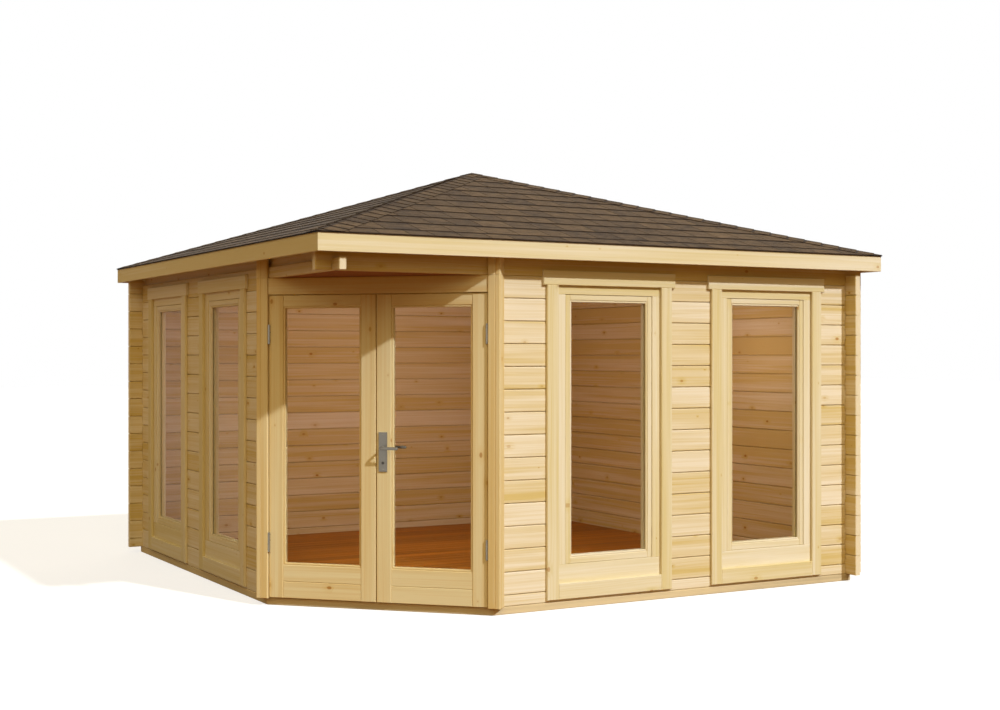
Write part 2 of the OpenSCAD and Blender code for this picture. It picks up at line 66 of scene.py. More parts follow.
ROOT_2 = math.sqrt(2)
NEARLY = 0.001  # heights that are closer than this are the same
LEAST_BOARD = 0.01  # what is narrower than this gets no board of its own

# The faces that the whole house is set out from, read off the packed model
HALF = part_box("back_wall")[1][1]
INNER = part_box("back_wall")[0][1]
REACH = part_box("back_wall")[1][0]
LOG_DEPTH = HALF - INNER
WALL_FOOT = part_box("back_wall")[0][2]
CROSS_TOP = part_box("back_wall")[1][2]
SIDE_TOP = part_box("right_wall")[1][2]
TOP_LOG_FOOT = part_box("front_top_log")[0][2]
ROOF_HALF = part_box("front_fascia")[1][0]
FASCIA_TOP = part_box("front_fascia")[1][2]
FASCIA_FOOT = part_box("front_fascia")[0][2]
SHINGLE_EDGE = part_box("roof_shingles")[1][0]
DECK_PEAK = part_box("side_roof_boards")[1][2]


def srgb(red, green, blue):
    """A colour written in 0 to 255, as the linear values that Blender's sockets take."""
    return tuple(
        (c / 255 / 12.92) if c / 255 <= 0.04045 else ((c / 255 + 0.055) / 1.055) ** 2.4
        for c in (red, green, blue)
    )


def length(name, description, default, low=0.0, high=1.0):
    """A size in metres for the panel."""
    return FloatProperty(
        name=name, description=description, default=default, min=low, max=high,
        precision=4, unit="LENGTH",
    )


def colour(name, description, default):
    """A colour for the panel."""
    return FloatVectorProperty(
        name=name, description=description, default=default, size=3, min=0.0, max=1.0,
        subtype="COLOR",
    )


def share(name, description, default):
    """A plain factor from 0 to 1 for the panel."""
    return FloatProperty(
        name=name, description=description, default=default, min=0.0, max=1.0, subtype="FACTOR",
    )


def strength(name, description, default):
    """The strength of a light for the panel."""
    return FloatProperty(name=name, description=description, default=default, min=0.0)


def angle(name, description, degrees):
    """An angle for the panel."""
    return FloatProperty(
        name=name, description=description, default=math.radians(degrees), min=0.0,
        subtype="ANGLE",
    )


def direction(name, description, default):
    """A direction away from the house for the panel."""
    return FloatVectorProperty(
        name=name, description=description, default=default, size=3, subtype="DIRECTION",
    )


class LogWallSizes(bpy.types.PropertyGroup):
    """Sizes of the stacked wall logs."""

    log_height: length("Log height", "Face height of one log", 0.135)
    bevel: length("Bevel", "Bevel along the edges of each log", 0.004)
    joint: length("Joint", "Open line between two logs, in front of their tongue", 0.0034)
    window_foot: length(
        "Window foot", "Height of the foot of the window holes",
        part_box("front_near_window_frame")[0][2], 0.0, 3.0,
    )
    window_top: length(
        "Window top", "Height of the top of the window holes",
        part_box("front_near_window_frame")[1][2], 0.0, 3.0,
    )


class WindowSizes(bpy.types.PropertyGroup):
    """Sizes of the window joinery."""

    frame_side: length("Frame side", "Width of the fixed frame's side members", 0.076)
    frame_head: length("Frame head", "Height of the fixed frame's head", 0.095)
    frame_foot: length("Frame foot", "Height of the fixed frame's foot board", 0.154)
    frame_depth: length("Frame depth", "Depth of the frame through the wall", 0.070)
    sash_side: length("Sash side", "Width of the sash at the sides and the top", 0.046)
    sash_foot: length("Sash foot", "Height of the sash's foot rail", 0.052)
    sash_setback: length("Sash setback", "Distance of the sash behind the frame's face", 0.004)
    sash_gap: length("Sash gap", "Open line between the sash and the frame", 0.0012)
    casing: length("Casing width", "Width of the casing boards at the sides", 0.080)
    casing_ear: length("Casing ear", "Overhang of the head casing at each end", 0.026)
    casing_head: length("Head casing", "Height of the casing board over the window", 0.089)
    casing_foot: length("Foot casing", "Height of the casing board under the window", 0.097)
    bead: length("Bead", "Width of the bead round the glass", 0.012)
    bead_drop: length("Bead drop", "Distance of the bead behind the face around it", 0.003)
    pane_depth: length("Pane depth", "Distance of the pane behind the frame's face", 0.024)
    pane: length("Pane", "Thickness of the glass", 0.006)


class DoorSizes(bpy.types.PropertyGroup):
    """Sizes of the doorway and the two leaves."""

    opening: length("Half opening", "Half the clear width between the jambs", 0.700)
    jamb: length("Jamb", "Width of a jamb across the doorway", 0.046)
    post: length("Corner post", "Width of a corner post across the doorway", 0.028)
    jamb_depth: length("Jamb depth", "Depth of the jambs through the doorway", 0.145)
    post_depth: length("Post depth", "Depth of the corner posts through the doorway", 0.158)
    face: length("Doorway face", "Distance of the posts' faces from the house's middle", 2.007,
                 1.0, 3.0)
    stop_width: length("Stop", "Width of the stop that the leaves close against", 0.014)
    stop_face: length("Stop face", "Distance of the stop from the doorway's face", 0.063)
    leaf_recess: length("Leaf recess", "Distance of the leaves behind the doorway's face", 0.014)
    head_setback: length("Head setback", "Distance of the head behind the jambs' faces", 0.006)
    head_gap: length("Head gap", "Open line at each end of the head", 0.002)
    leaf_depth: length("Leaf thickness", "Thickness of a leaf", 0.044)
    leaf_inner: length("Meeting edge", "Distance of a leaf's edge from the doorway's middle",
                       0.0035)
    leaf_outer: length("Hinge edge", "Distance of a leaf's hinge edge from the middle", 0.695)
    stile: length("Stile", "Width of the leaf's stiles with their beads", 0.105)
    top_rail: length("Top rail", "Height of the leaf's top rail", 0.080)
    foot_rail: length("Foot boards", "Height of the leaf's two foot boards together", 0.215)
    foot_joint: length("Foot joint", "Height of the joint between the two foot boards", 0.1015)
    rail_setback: length("Rail setback", "Distance of the rails behind the stiles' faces", 0.002)
    joint_gap: length("Joint line", "Open line between two boards of a leaf", 0.0003)


class HandleSizes(bpy.types.PropertyGroup):
    """Sizes of the lever handle, its screws and the keyway."""

    plate: length("Plate", "Thickness of a handle plate", 0.006)
    spindle: length("Spindle", "Distance of the spindle from the leaf's meeting edge", 0.042)
    neck: length("Neck", "Radius of the lever where it leaves the plate", 0.0075)
    stand: length("Stand", "Distance of the lever's grip from the plate", 0.050)
    bend: length("Bend", "Radius of the lever's bend", 0.012)
    arm: length("Arm", "Length of the lever from the spindle to its tip", 0.112)
    screw_rise: length("Upper screw", "Height of the plate's upper screw over the spindle", 0.080)
    screw_drop: length("Lower screw", "Distance of the plate's lower screw below the spindle",
                       0.128)
    keyway: length("Keyway", "Distance of the keyway below the spindle", 0.090)


class RoofSizes(bpy.types.PropertyGroup):
    """Sizes of the roof's timbers, boards and shingles."""

    plate: length("Roof plate", "Thickness of the roof plates", 0.044)
    rafter: length("Rafter", "Width of a rafter", 0.045)
    rafter_depth: length("Rafter depth", "Depth of a rafter, square to the slope", 0.095)
    hub: length("Hub", "Radius of the block at the peak that the rafters meet at", 0.090)
    board: length("Roof board", "Width of one roof board", 0.096)
    deck: length("Deck", "Thickness of the roof boards", 0.018)
    first_course: length("First course", "Shown height of the lowest course of shingles", 0.125)
    course: length("Course", "Shown height of one course of shingles up the slope", 0.190)
    tab: length("Tab", "Width of one shingle tab", 0.185)
    slot: length("Slot", "Gap between two tabs", 0.005)
    field_top: length("Field height", "Height of a course's lower edge over the boards", 0.0082)
    cap_top: length("Cap height", "Height of a hip cap's lower edge over the boards", 0.0118)
    cap_step: length("Cap step", "Shown length of one hip cap along the hip", 0.118)
    cap_width: length("Cap width", "Width of a hip cap on each side of the hip", 0.115)


class WoodColours(bpy.types.PropertyGroup):
    """Colours of the timber."""

    log_pale: colour("Log, pale", "Palest wood of the logs", srgb(242, 231, 212))
    log_warm: colour("Log, warm", "Warmest wood of the logs", srgb(218, 194, 130))
    frame_pale: colour("Joinery, pale", "Palest wood of frames and casings", srgb(240, 231, 212))
    frame_warm: colour("Joinery, warm", "Warmest wood of frames and casings", srgb(224, 207, 156))
    door_pale: colour("Doorway, pale", "Palest wood of the doors and posts", srgb(242, 229, 190))
    door_warm: colour("Doorway, warm", "Warmest wood of the doors and posts", srgb(228, 200, 140))
    bearer: colour("Bearer", "Sawn wood of the bearers", srgb(236, 216, 176))
    floor: colour("Floor", "Oiled boards of the floor", srgb(204, 134, 44))
    # The porch ceiling's dark reddish colour is painted shade: it stands in for the shade under
    # the porch roof.
    ceiling: colour("Porch ceiling", "Boards over the porch", srgb(150, 80, 30))
    roof_board: colour("Roof board", "Underside of the roof boards", srgb(196, 146, 84))
    knot: colour("Knot", "Middle of the knots", srgb(178, 120, 52))
    knots: share("Knots", "Share of the places where a knot may be that have one", 0.55)


class FittingColours(bpy.types.PropertyGroup):
    """Colours of the glass, steel and shingles."""

    glass: colour("Glass", "Tint of the panes", (0.95, 0.965, 0.96))
    hinge: colour("Hinge", "Zinc plated steel", srgb(136, 128, 115))
    plate: colour("Handle plate", "Satin grey steel", srgb(121, 116, 108))
    lock: colour("Lock", "Darker steel of the lock cylinder", srgb(72, 66, 60))
    shingle_light: colour("Shingle, light", "Lightest granules", srgb(117, 94, 68))
    shingle_dark: colour("Shingle, dark", "Darkest granules", srgb(46, 33, 23))


class StageLight(bpy.types.PropertyGroup):
    """Light, floor and camera."""

    sun: strength("Sun", "Strength of the sun lamp", 2.62)
    sun_towards: direction("Towards the sun", "Direction from the house to the sun",
                           (0.34, -1.0, 0.83))
    sun_angle: angle("Sun softness", "Angle that the sun lamp covers", 1.6)
    sky: strength("Sky", "Strength of the soft light all round", 0.28)
    sky_colour: colour("Sky colour", "Colour of the soft light all round", (1.0, 0.73, 0.33))
    floor_bounce: colour("Floor", "Colour that the floor throws back", srgb(134, 90, 38))
    fill: strength("Fill", "Strength of the soft lamp before the doors", 0.93)
    fill_towards: direction("Towards the fill", "Direction from the house to the fill lamp",
                            (-0.5, -0.75, 0.72))
    back: strength("Back light", "Strength of the soft lamp behind the house", 1.0)
    back_towards: direction("Towards the back light", "Direction from the house to the back lamp",
                            (0.6, 1.0, 0.25))
    soft_angle: angle("Lamp softness", "Angle that the fill and back lamps cover", 60.0)
    room: strength("Room light", "Power of the lamp in the room", 29.0)
    corner: strength("Corner light", "Power of the lamp by the far window", 6.5)
    room_colour: colour("Room colour", "Colour of the lamps in the room", (1.0, 0.79, 0.68))
    camera_place: FloatVectorProperty(
        name="Camera", description="Place of the camera", default=(-5.0782, -9.4266, 1.5315),
        size=3, unit="LENGTH",
    )
    camera_turn: angle("Camera turn", "Turn of the camera to the right of straight ahead", 29.42)
    lens: FloatProperty(
        name="Lens", description="Focal length in millimetres", default=52.835, min=1.0,
        unit="CAMERA",
    )


# ---- node helpers


def node(tree, kind, inputs=None, **settings):
    """A new shader node with its settings, its values and the sockets that feed it."""
    made = tree.nodes.new(kind)
    for name, value in settings.items():
        setattr(made, name, value)
    for place, value in (inputs or {}).items():
        if isinstance(value, bpy.types.NodeSocket):
            tree.links.new(value, made.inputs[place])
        else:
            made.inputs[place].default_value = value
    return made


def maths(tree, operation, first, second=0.0):
    """The result of one sum on numbers."""
    return node(tree, "ShaderNodeMath", {0: first, 1: second}, operation=operation).outputs[0]


def total(tree, first, *others):
    """The sum of several numbers."""
    for other in others:
        first = maths(tree, "ADD", first, other)
    return first


def times(tree, first, second):
    """The product of two numbers."""
    return maths(tree, "MULTIPLY", first, second)


def stretched(tree, vector, factors):
    """A vector with each of its parts multiplied."""
    return node(
        tree, "ShaderNodeVectorMath", {0: vector, 1: factors}, operation="MULTIPLY"
    ).outputs[0]


def ranged(tree, value, low, high, to_low=0.0, to_high=1.0):
    """A number moved from one range to another, and held inside it."""
    return node(
        tree, "ShaderNodeMapRange", {0: value, 1: low, 2: high, 3: to_low, 4: to_high}
    ).outputs[0]


def blended(tree, factor, first, second, blend="MIX"):
    """Two colours mixed by a factor."""
    made = node(tree, "ShaderNodeMix", data_type="RGBA", blend_type=blend)
    for place, value in ((0, factor), (6, first), (7, second)):
        if isinstance(value, bpy.types.NodeSocket):
            tree.links.new(value, made.inputs[place])
        else:
            made.inputs[place].default_value = value if place == 0 else (*value[:3], 1.0)
    return made.outputs[2]


def noise(tree, vector, scale, detail=2.0, roughness=0.5):
    """Soft noise between 0 and 1."""
    return node(
        tree, "ShaderNodeTexNoise",
        {"Vector": vector, "Scale": scale, "Detail": detail, "Roughness": roughness},
    ).outputs[0]


def carried(tree, layer, output="Fac"):
    """A layer of values that a piece carries on its mesh."""
    return node(tree, "ShaderNodeAttribute", attribute_name=layer).outputs[output]


def new_group(name, inputs):
    """A group that puts out a colour, a roughness and a height, with its sockets inside."""
    group = bpy.data.node_groups.new(name, "ShaderNodeTree")
    for socket, kind, default in inputs:
        made = group.interface.new_socket(name=socket, in_out="INPUT", socket_type=kind)
        made.default_value = default
    for socket, kind in (("Color", "NodeSocketColor"), ("Roughness", "NodeSocketFloat"),
                         ("Height", "NodeSocketFloat")):
        group.interface.new_socket(name=socket, in_out="OUTPUT", socket_type=kind)
    start = group.nodes.new("NodeGroupInput")
    end = group.nodes.new("NodeGroupOutput")
    return group, start.outputs, end.inputs


def spruce_group():
    """Grain, rings, knots and end grain of planed spruce, laid along each board."""
    if "Spruce" in bpy.data.node_groups:
        return bpy.data.node_groups["Spruce"]
    tree, given, wanted = new_group(
        "Spruce",
        [
            ("Pale", "NodeSocketColor", (0.8, 0.7, 0.5, 1.0)),
            ("Warm", "NodeSocketColor", (0.7, 0.5, 0.3, 1.0)),
            ("Knot", "NodeSocketColor", (0.3, 0.15, 0.05, 1.0)),
            ("Knots", "NodeSocketFloat", 0.45),
            ("Rings", "NodeSocketFloat", 0.3),
        ],
    )
    place = carried(tree, "grain", "Vector")
    tone = carried(tree, "tone")
    end = carried(tree, "end_grain")

    # Knots stand in cells along the board, and only some cells have one
    cells = node(
        tree, "ShaderNodeTexVoronoi",
        {"Vector": stretched(tree, place, (0.6, 1.0, 0.0)), "Scale": 5.2, "Randomness": 1.0},
        voronoi_dimensions="2D",
    )
    cell = node(tree, "ShaderNodeSeparateColor", {0: cells.outputs["Color"]})
    distance = cells.outputs["Distance"]
    there = maths(tree, "LESS_THAN", cell.outputs[0], given["Knots"])
    radius = ranged(tree, cell.outputs[1], 0.0, 1.0, 0.012, 0.050)
    ratio = maths(tree, "DIVIDE", distance, radius)
    knot = times(tree, ranged(tree, ratio, 0.75, 1.15, 1.0, 0.0), there)
    halo = times(tree, ranged(tree, ratio, 0.8, 4.0, 1.0, 0.0), there)

    # Rings lie round the heart of the tree, and bend round the knots
    parts = node(tree, "ShaderNodeSeparateXYZ", {0: place}).outputs
    sway = noise(tree, stretched(tree, place, (1.1, 5.0, 5.0)), 1.0, 2.0)
    across = total(tree, parts[1], ranged(tree, sway, 0.0, 1.0, -0.035, 0.035))
    far = total(tree, times(tree, across, across), times(tree, parts[2], parts[2]))
    heart = total(tree, maths(tree, "SQRT", far), times(tree, halo, 0.006))
    rings = node(
        tree, "ShaderNodeTexNoise", {"W": times(tree, heart, 240.0), "Scale": 1.0, "Detail": 1.0},
        noise_dimensions="1D",
    ).outputs[0]
    late = ranged(tree, rings, 0.42, 0.72)
    streaks = noise(tree, stretched(tree, place, (0.5, 16.0, 16.0)), 1.0, 3.0, 0.55)
    lines = noise(tree, stretched(tree, place, (0.8, 75.0, 75.0)), 1.0, 1.0)
    fibres = noise(tree, stretched(tree, place, (9.0, 420.0, 420.0)), 1.0, 2.0)

    warmth = total(
        tree, times(tree, tone, 0.55), ranged(tree, streaks, 0.3, 0.72, -0.3, 0.55),
        ranged(tree, lines, 0.35, 0.7, -0.08, 0.22), times(tree, late, given["Rings"]),
        times(tree, halo, 0.35),
    )
    warmth = node(tree, "ShaderNodeClamp", {0: warmth}).outputs[0]
    timber = blended(tree, warmth, given["Pale"], given["Warm"])
    timber = blended(tree, times(tree, fibres, 0.16), timber, given["Warm"], "MULTIPLY")
    core = times(tree, knot, ranged(tree, cell.outputs[2], 0.0, 1.0, 0.25, 0.85))
    timber = blended(tree, core, timber, given["Knot"])
    cut_end = blended(tree, ranged(tree, rings, 0.4, 0.6, 0.1, 0.5), given["Pale"], given["Warm"])
    tree.links.new(blended(tree, end, timber, cut_end), wanted["Color"])
    tree.links.new(ranged(tree, fibres, 0.2, 0.8, 0.52, 0.72), wanted["Roughness"])
    tree.links.new(
        total(tree, times(tree, late, 0.4), times(tree, fibres, 0.6), times(tree, knot, 0.5)),
        wanted["Height"],
    )
    return tree


def darker(tone, factor):
    """A colour with less light in it."""
    return [c * factor for c in tone]


def set_values(shader, **values):
    """Sets sockets of a shader to plain values, with underscores for the spaces in names."""
    for socket, value in values.items():
        shader.inputs[socket.replace("_", " ")].default_value = value


def lift(tree, shader, height, amount, distance):
    """Lets a height raise a shader's surface through a Bump node."""
    bump = node(tree, "ShaderNodeBump",
                {"Height": height, "Strength": amount, "Distance": distance})
    tree.links.new(bump.outputs[0], shader.inputs["Normal"])


def new_material(name):
    """A material, its nodes and its Principled shader."""
    made = bpy.data.materials.new(name)
    made.use_nodes = True
    tree = made.node_tree
    return made, tree, tree.nodes["Principled BSDF"]


def wood(name):
    """The spruce of one kind of timber, made the first time that it is asked for."""
    if name in bpy.data.materials:
        return bpy.data.materials[name]
    colours = bpy.context.scene.house_wood
    pale, warm, ring, bump, rough = {
        "Log spruce": (colours.log_pale, colours.log_warm, 0.20, 0.0006, 1.0),
        "Joinery spruce": (colours.frame_pale, colours.frame_warm, 0.20, 0.0004, 1.0),
        "Doorway spruce": (colours.door_pale, colours.door_warm, 0.20, 0.0004, 1.0),
        "Sawn bearer": (colours.bearer, darker(colours.bearer, 0.7), 0.25, 0.0012, 1.2),
        "Oiled floor": (colours.floor, darker(colours.floor, 0.5), 0.35, 0.0004, 0.75),
        # The porch ceiling's dark colour is painted shade under the porch roof.
        "Porch ceiling": (colours.ceiling, darker(colours.ceiling, 0.7), 0.3, 0.0004, 0.9),
        "Roof board": (colours.roof_board, darker(colours.roof_board, 0.72), 0.3, 0.0006, 1.0),
    }[name]
    made, tree, shader = new_material(name)
    spruce = node(tree, "ShaderNodeGroup", node_tree=spruce_group())
    for socket, value in (("Pale", pale), ("Warm", warm), ("Knot", colours.knot)):
        spruce.inputs[socket].default_value = (*value[:3], 1.0)
    set_values(spruce, Knots=colours.knots, Rings=ring)
    tree.links.new(spruce.outputs["Color"], shader.inputs["Base Color"])
    tree.links.new(times(tree, spruce.outputs["Roughness"], rough), shader.inputs["Roughness"])
    lift(tree, shader, spruce.outputs["Height"], 0.6, bump)
    set_values(shader, Specular_IOR_Level=0.12)
    return made


def worn_steel_group():
    """Fine brushing and faint smears on plated steel."""
    if "Worn steel" in bpy.data.node_groups:
        return bpy.data.node_groups["Worn steel"]
    tree, given, wanted = new_group(
        "Worn steel",
        [
            ("Base", "NodeSocketColor", (0.5, 0.5, 0.5, 1.0)),
            ("Roughness", "NodeSocketFloat", 0.35),
        ],
    )
    place = node(tree, "ShaderNodeTexCoord").outputs["Object"]
    brushing = noise(tree, stretched(tree, place, (900.0, 900.0, 30.0)), 1.0, 2.0)
    smears = noise(tree, place, 38.0, 4.0)
    shade = blended(tree, ranged(tree, smears, 0.35, 0.75, 0.0, 0.35), given["Base"],
                    (0.25, 0.24, 0.22))
    tree.links.new(shade, wanted["Color"])
    rough = total(tree, given["Roughness"], ranged(tree, smears, 0.3, 0.8, -0.05, 0.14))
    tree.links.new(rough, wanted["Roughness"])
    tree.links.new(brushing, wanted["Height"])
    return tree


def steel(name):
    """The steel of one kind of fitting, made the first time that it is asked for."""
    if name in bpy.data.materials:
        return bpy.data.materials[name]
    colours = bpy.context.scene.house_fittings
    base, rough = {"Hinge steel": (colours.hinge, 0.42), "Plate steel": (colours.plate, 0.45),
                   "Lock steel": (colours.lock, 0.5)}[name]
    made, tree, shader = new_material(name)
    worn = node(tree, "ShaderNodeGroup", node_tree=worn_steel_group())
    set_values(worn, Base=(*base, 1.0), Roughness=rough)
    tree.links.new(worn.outputs["Color"], shader.inputs["Base Color"])
    tree.links.new(worn.outputs["Roughness"], shader.inputs["Roughness"])
    lift(tree, shader, worn.outputs["Height"], 0.3, 0.0001)
    set_values(shader, Metallic=0.9)
    return made


def shingle_material():
    """Mineral granules on felt, with a tone of its own on each tab."""
    colours = bpy.context.scene.house_fittings
    made, tree, shader = new_material("Shingle")
    place = carried(tree, "grain", "Vector")
    tone = carried(tree, "tone")
    granules = node(
        tree, "ShaderNodeTexVoronoi", {"Vector": place, "Scale": 420.0}, voronoi_dimensions="3D"
    )
    speck = node(tree, "ShaderNodeSeparateColor", {0: granules.outputs["Color"]}).outputs[0]
    patches = noise(tree, stretched(tree, place, (7.0, 11.0, 7.0)), 1.0, 4.0, 0.6)
    dashes = noise(tree, stretched(tree, place, (14.0, 42.0, 14.0)), 1.0, 3.0, 0.6)
    mix = total(
        tree, times(tree, tone, 0.34), ranged(tree, patches, 0.3, 0.72, 0.03, 0.33),
        ranged(tree, dashes, 0.34, 0.66, -0.14, 0.26), ranged(tree, speck, 0.0, 1.0, -0.2, 0.2),
    )
    mix = node(tree, "ShaderNodeClamp", {0: mix}).outputs[0]
    tree.links.new(blended(tree, mix, colours.shingle_dark, colours.shingle_light),
                   shader.inputs["Base Color"])
    lift(tree, shader, speck, 0.7, 0.0012)
    tree.links.new(ranged(tree, speck, 0.0, 1.0, 0.82, 0.96), shader.inputs["Roughness"])
    set_values(shader, Specular_IOR_Level=0.25)
    return made


def glass_material():
    """Clear flat glass that lets the lamps through."""
    made, tree, shader = new_material("Window glass")
    tint = bpy.context.scene.house_fittings.glass
    set_values(shader, Base_Color=(*tint, 1.0), Transmission_Weight=1.0, Roughness=0.0, IOR=1.04)
    passed = 0.5  # share of a lamp's light that a pane lets through
    clear = node(tree, "ShaderNodeBsdfTransparent", {"Color": (passed, passed, passed, 1.0)})
    path = node(tree, "ShaderNodeLightPath")
    mix = node(
        tree, "ShaderNodeMixShader",
        {0: path.outputs["Is Shadow Ray"], 1: shader.outputs[0], 2: clear.outputs[0]},
    )
    tree.links.new(mix.outputs[0], tree.nodes["Material Output"].inputs["Surface"])
    return made


# ---- boards


def inset(outline, distance):
    """The outline with every side moved inwards, sides taken counter-clockwise."""
    moved = []
    for i, corner in enumerate(outline):
        before = (corner - outline[i - 1]).normalized()
        after = (outline[(i + 1) % len(outline)] - corner).normalized()
        first, second = Vector((-before.y, before.x)), Vector((-after.y, after.x))
        moved.append(corner + (first + second) * (distance / (1 + first.dot(second))))
    return moved


def oblong(left, right, low, high):
    """The outline of a square-edged board."""
    return [(left, low), (right, low), (right, high), (left, high)]


def trim(solid, cuts):
    """Cuts a solid by planes and closes it. What lies on a cut's side of its point goes."""
    for point, away in cuts:
        cut = bmesh.ops.bisect_plane(
            solid, geom=solid.verts[:] + solid.edges[:] + solid.faces[:],
            plane_co=Vector(point), plane_no=Vector(away), clear_outer=True, dist=1e-6,
        )
        rim = [e for e in cut["geom_cut"] if isinstance(e, bmesh.types.BMEdge)]
        if rim:
            bmesh.ops.edgeloop_fill(solid, edges=rim)


class Boards:
    """The boards of one piece, each with its own grain, gathered into one mesh.

    tones is the range of the boards' tones, from pale wood at 0 to warm wood at 1 and above.
    """

    def __init__(self, seed, tones=(0.0, 1.0)):
        self.chance = random.Random(seed)
        self.tones = tones
        self.points, self.faces = [], []
        self.grain, self.tone, self.end_grain = [], [], []

    def add(self, outline, depth, lay, place=Matrix(), grain=(1, 0), bevel=0.003, cuts=(),
            tone=None):
        """One board: an outline and a depth, laid in the house, cut by planes, then placed.

        grain is the direction of the grain in the outline's plane. Each cut is a point and
        a direction, and what lies on that side of the point goes.
        """
        outline = [Vector(corner) for corner in outline]
        ring = inset(outline, bevel)
        board = bmesh.new()
        loops = [
            [board.verts.new(lay @ Vector((*corner, away))) for corner in loop]
            for loop, away in ((ring, 0.0), (outline, bevel), (outline, depth - bevel),
                               (ring, depth))
        ]
        board.faces.new(loops[0][::-1])
        board.faces.new(loops[3])
        count = len(outline)
        for near, far in zip(loops, loops[1:]):
            for i in range(count):
                j = (i + 1) % count
                board.faces.new((near[i], near[j], far[j], far[i]))
        trim(board, cuts)
        if not board.verts:
            board.free()
            return
        bmesh.ops.recalc_face_normals(board, faces=board.faces[:])

        along = Vector(grain).normalized()
        side = Vector((-along.y, along.x))
        flat = lay.inverted()
        reach = [corner.dot(side) for corner in outline]
        wide = max(reach) - min(reach) >= depth
        middle = (max(reach) + min(reach)) / 2
        shift = (self.chance.uniform(0, 60), self.chance.uniform(-0.05, 0.05),
                 self.chance.uniform(0.03, 0.11))
        shade = self.chance.uniform(*self.tones) if tone is None else tone
        mirrored = place.to_3x3().determinant() < 0
        first = len(self.points)
        for vert in board.verts:
            spot = flat @ vert.co
            flat_spot = spot.xy
            across, deep = flat_spot.dot(side) - middle, spot.z - depth / 2
            if not wide:
                across, deep = deep, across
            self.grain.append((flat_spot.dot(along) + shift[0], across + shift[1],
                               deep + shift[2]))
            self.tone.append(shade)
            self.points.append(place @ vert.co)
        board.verts.index_update()
        turn = flat.to_3x3()
        for face in board.faces:
            corners = [first + vert.index for vert in face.verts]
            self.faces.append(corners[::-1] if mirrored else corners)
            facing = (turn @ face.normal).xy
            self.end_grain.append(1.0 if abs(facing.dot(along)) > 0.8 else 0.0)
        board.free()

    def piece(self, name, body, slot, material, *nodes):
        """The gathered boards as one piece that rides on a body and replaces CAD nodes."""
        mesh = bpy.data.meshes.new(name)
        mesh.from_pydata(self.points, [], self.faces)
        for layer, kind, domain, values in (
            ("grain", "FLOAT_VECTOR", "POINT", [c for spot in self.grain for c in spot]),
            ("tone", "FLOAT", "POINT", self.tone),
            ("end_grain", "FLOAT", "FACE", self.end_grain),
        ):
            made = mesh.attributes.new(layer, kind, domain)
            made.data.foreach_set("vector" if kind == "FLOAT_VECTOR" else "value", values)
        mesh.materials.append(material)
        return keep(mesh, name, body, slot, *nodes)


def keep(mesh, name, body, slot, *nodes):
    """A mesh as a piece that rides on a body and stands for CAD nodes."""
    mesh.validate()
    thing = bpy.data.objects.new(name, mesh)
    bpy.context.scene.collection.objects.link(thing)
    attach(thing, body)
    if nodes:
        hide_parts(*nodes)
    return thing


def refinish(name, material, width=0.0, segments=2):
    """Gives a CAD node its material, and rounds its sharp edges by a modifier."""
    thing = frame["nodes"][name]
    thing.data.materials.clear()
    thing.data.materials.append(material)
    if width:
        edge = thing.modifiers.new("Rounded edges", "BEVEL")
        edge.width = width
        edge.segments = segments
        edge.limit_method = "ANGLE"
        edge.angle_limit = math.radians(40)


# ---- where things lie

FRONT = Matrix()
LEFT = Matrix(((0, 1, 0, 0), (1, 0, 0, 0), (0, 0, 1, 0), (0, 0, 0, 1)))
BACK = Matrix.Diagonal((1, -1, 1, 1))
RIGHT = Matrix(((0, -1, 0, 0), (1, 0, 0, 0), (0, 0, 1, 0), (0, 0, 0, 1)))
QUARTERS = [Matrix.Rotation(math.radians(turn), 4, "Z") for turn in (0, -90, 180, 90)]


def upright_lay(face):
    """Outline along X and up, depth inwards from a face of the front wall."""
    return Matrix(((1, 0, 0, 0), (0, 0, 1, face), (0, 1, 0, 0), (0, 0, 0, 1)))


def plan_lay(height):
    """Outline in plan, depth upwards from a height."""
    return Matrix.Translation((0, 0, height))


def door_lay(face, side=1):
    """Outline across the doorway and up, depth inwards from a distance to the middle."""
    r = 1 / ROOT_2
    return Matrix((
        (side * r, 0, r, -r * face), (-side * r, 0, r, -r * face), (0, 1, 0, 0), (0, 0, 0, 1)
    ))


def porch_plan_lay(height):
    """Outline across the doorway and outwards from the middle, depth upwards."""
    r = 1 / ROOT_2
    return Matrix(((r, -r, 0, 0), (-r, -r, 0, 0), (0, 0, 1, height), (0, 0, 0, 1)))


SLOPE = (DECK_PEAK - FASCIA_TOP) / ROOF_HALF
PITCH = math.atan(SLOPE)


def slope_lay(lift):
    """Outline along the eaves and up the front slope from the peak, depth outwards."""
    up = Vector((0, math.cos(PITCH), math.sin(PITCH)))
    out = Vector((0, -math.sin(PITCH), math.cos(PITCH)))
    start = Vector((0, 0, DECK_PEAK)) + out * lift
    return Matrix((
        (1, 0, 0, 0), (0, up.y, out.y, start.y), (0, up.z, out.z, start.z), (0, 0, 0, 1)
    ))


def under_boards(deck):
    """The planes of the four undersides of the roof boards, as cuts."""
    peak = (0, 0, DECK_PEAK - deck / math.cos(PITCH))
    out, up = math.sin(PITCH), math.cos(PITCH)
    slopes = ((out, 0, up), (-out, 0, up), (0, out, up), (0, -out, up))
    return [(peak, facing) for facing in slopes]


HIP_CUTS = [((0, 0, 0), (1, 1, 0)), ((0, 0, 0), (-1, 1, 0))]


# ---- walls


def log_outline(left, right, low, high, rooms):
    """A log's face from end to end, with rooms cut into its top or its foot."""
    foot, top = [(left, low)], [(right, high)]
    for start, end, room_low, room_high in sorted(rooms):
        if room_low <= low < room_high:
            foot += [(start, low), (start, room_high), (end, room_high), (end, low)]
        elif room_low < high <= room_high:
            top[1:1] = [(end, high), (end, room_low), (start, room_low), (start, high)]
    return foot + [(right, low)] + top + [(left, high)]


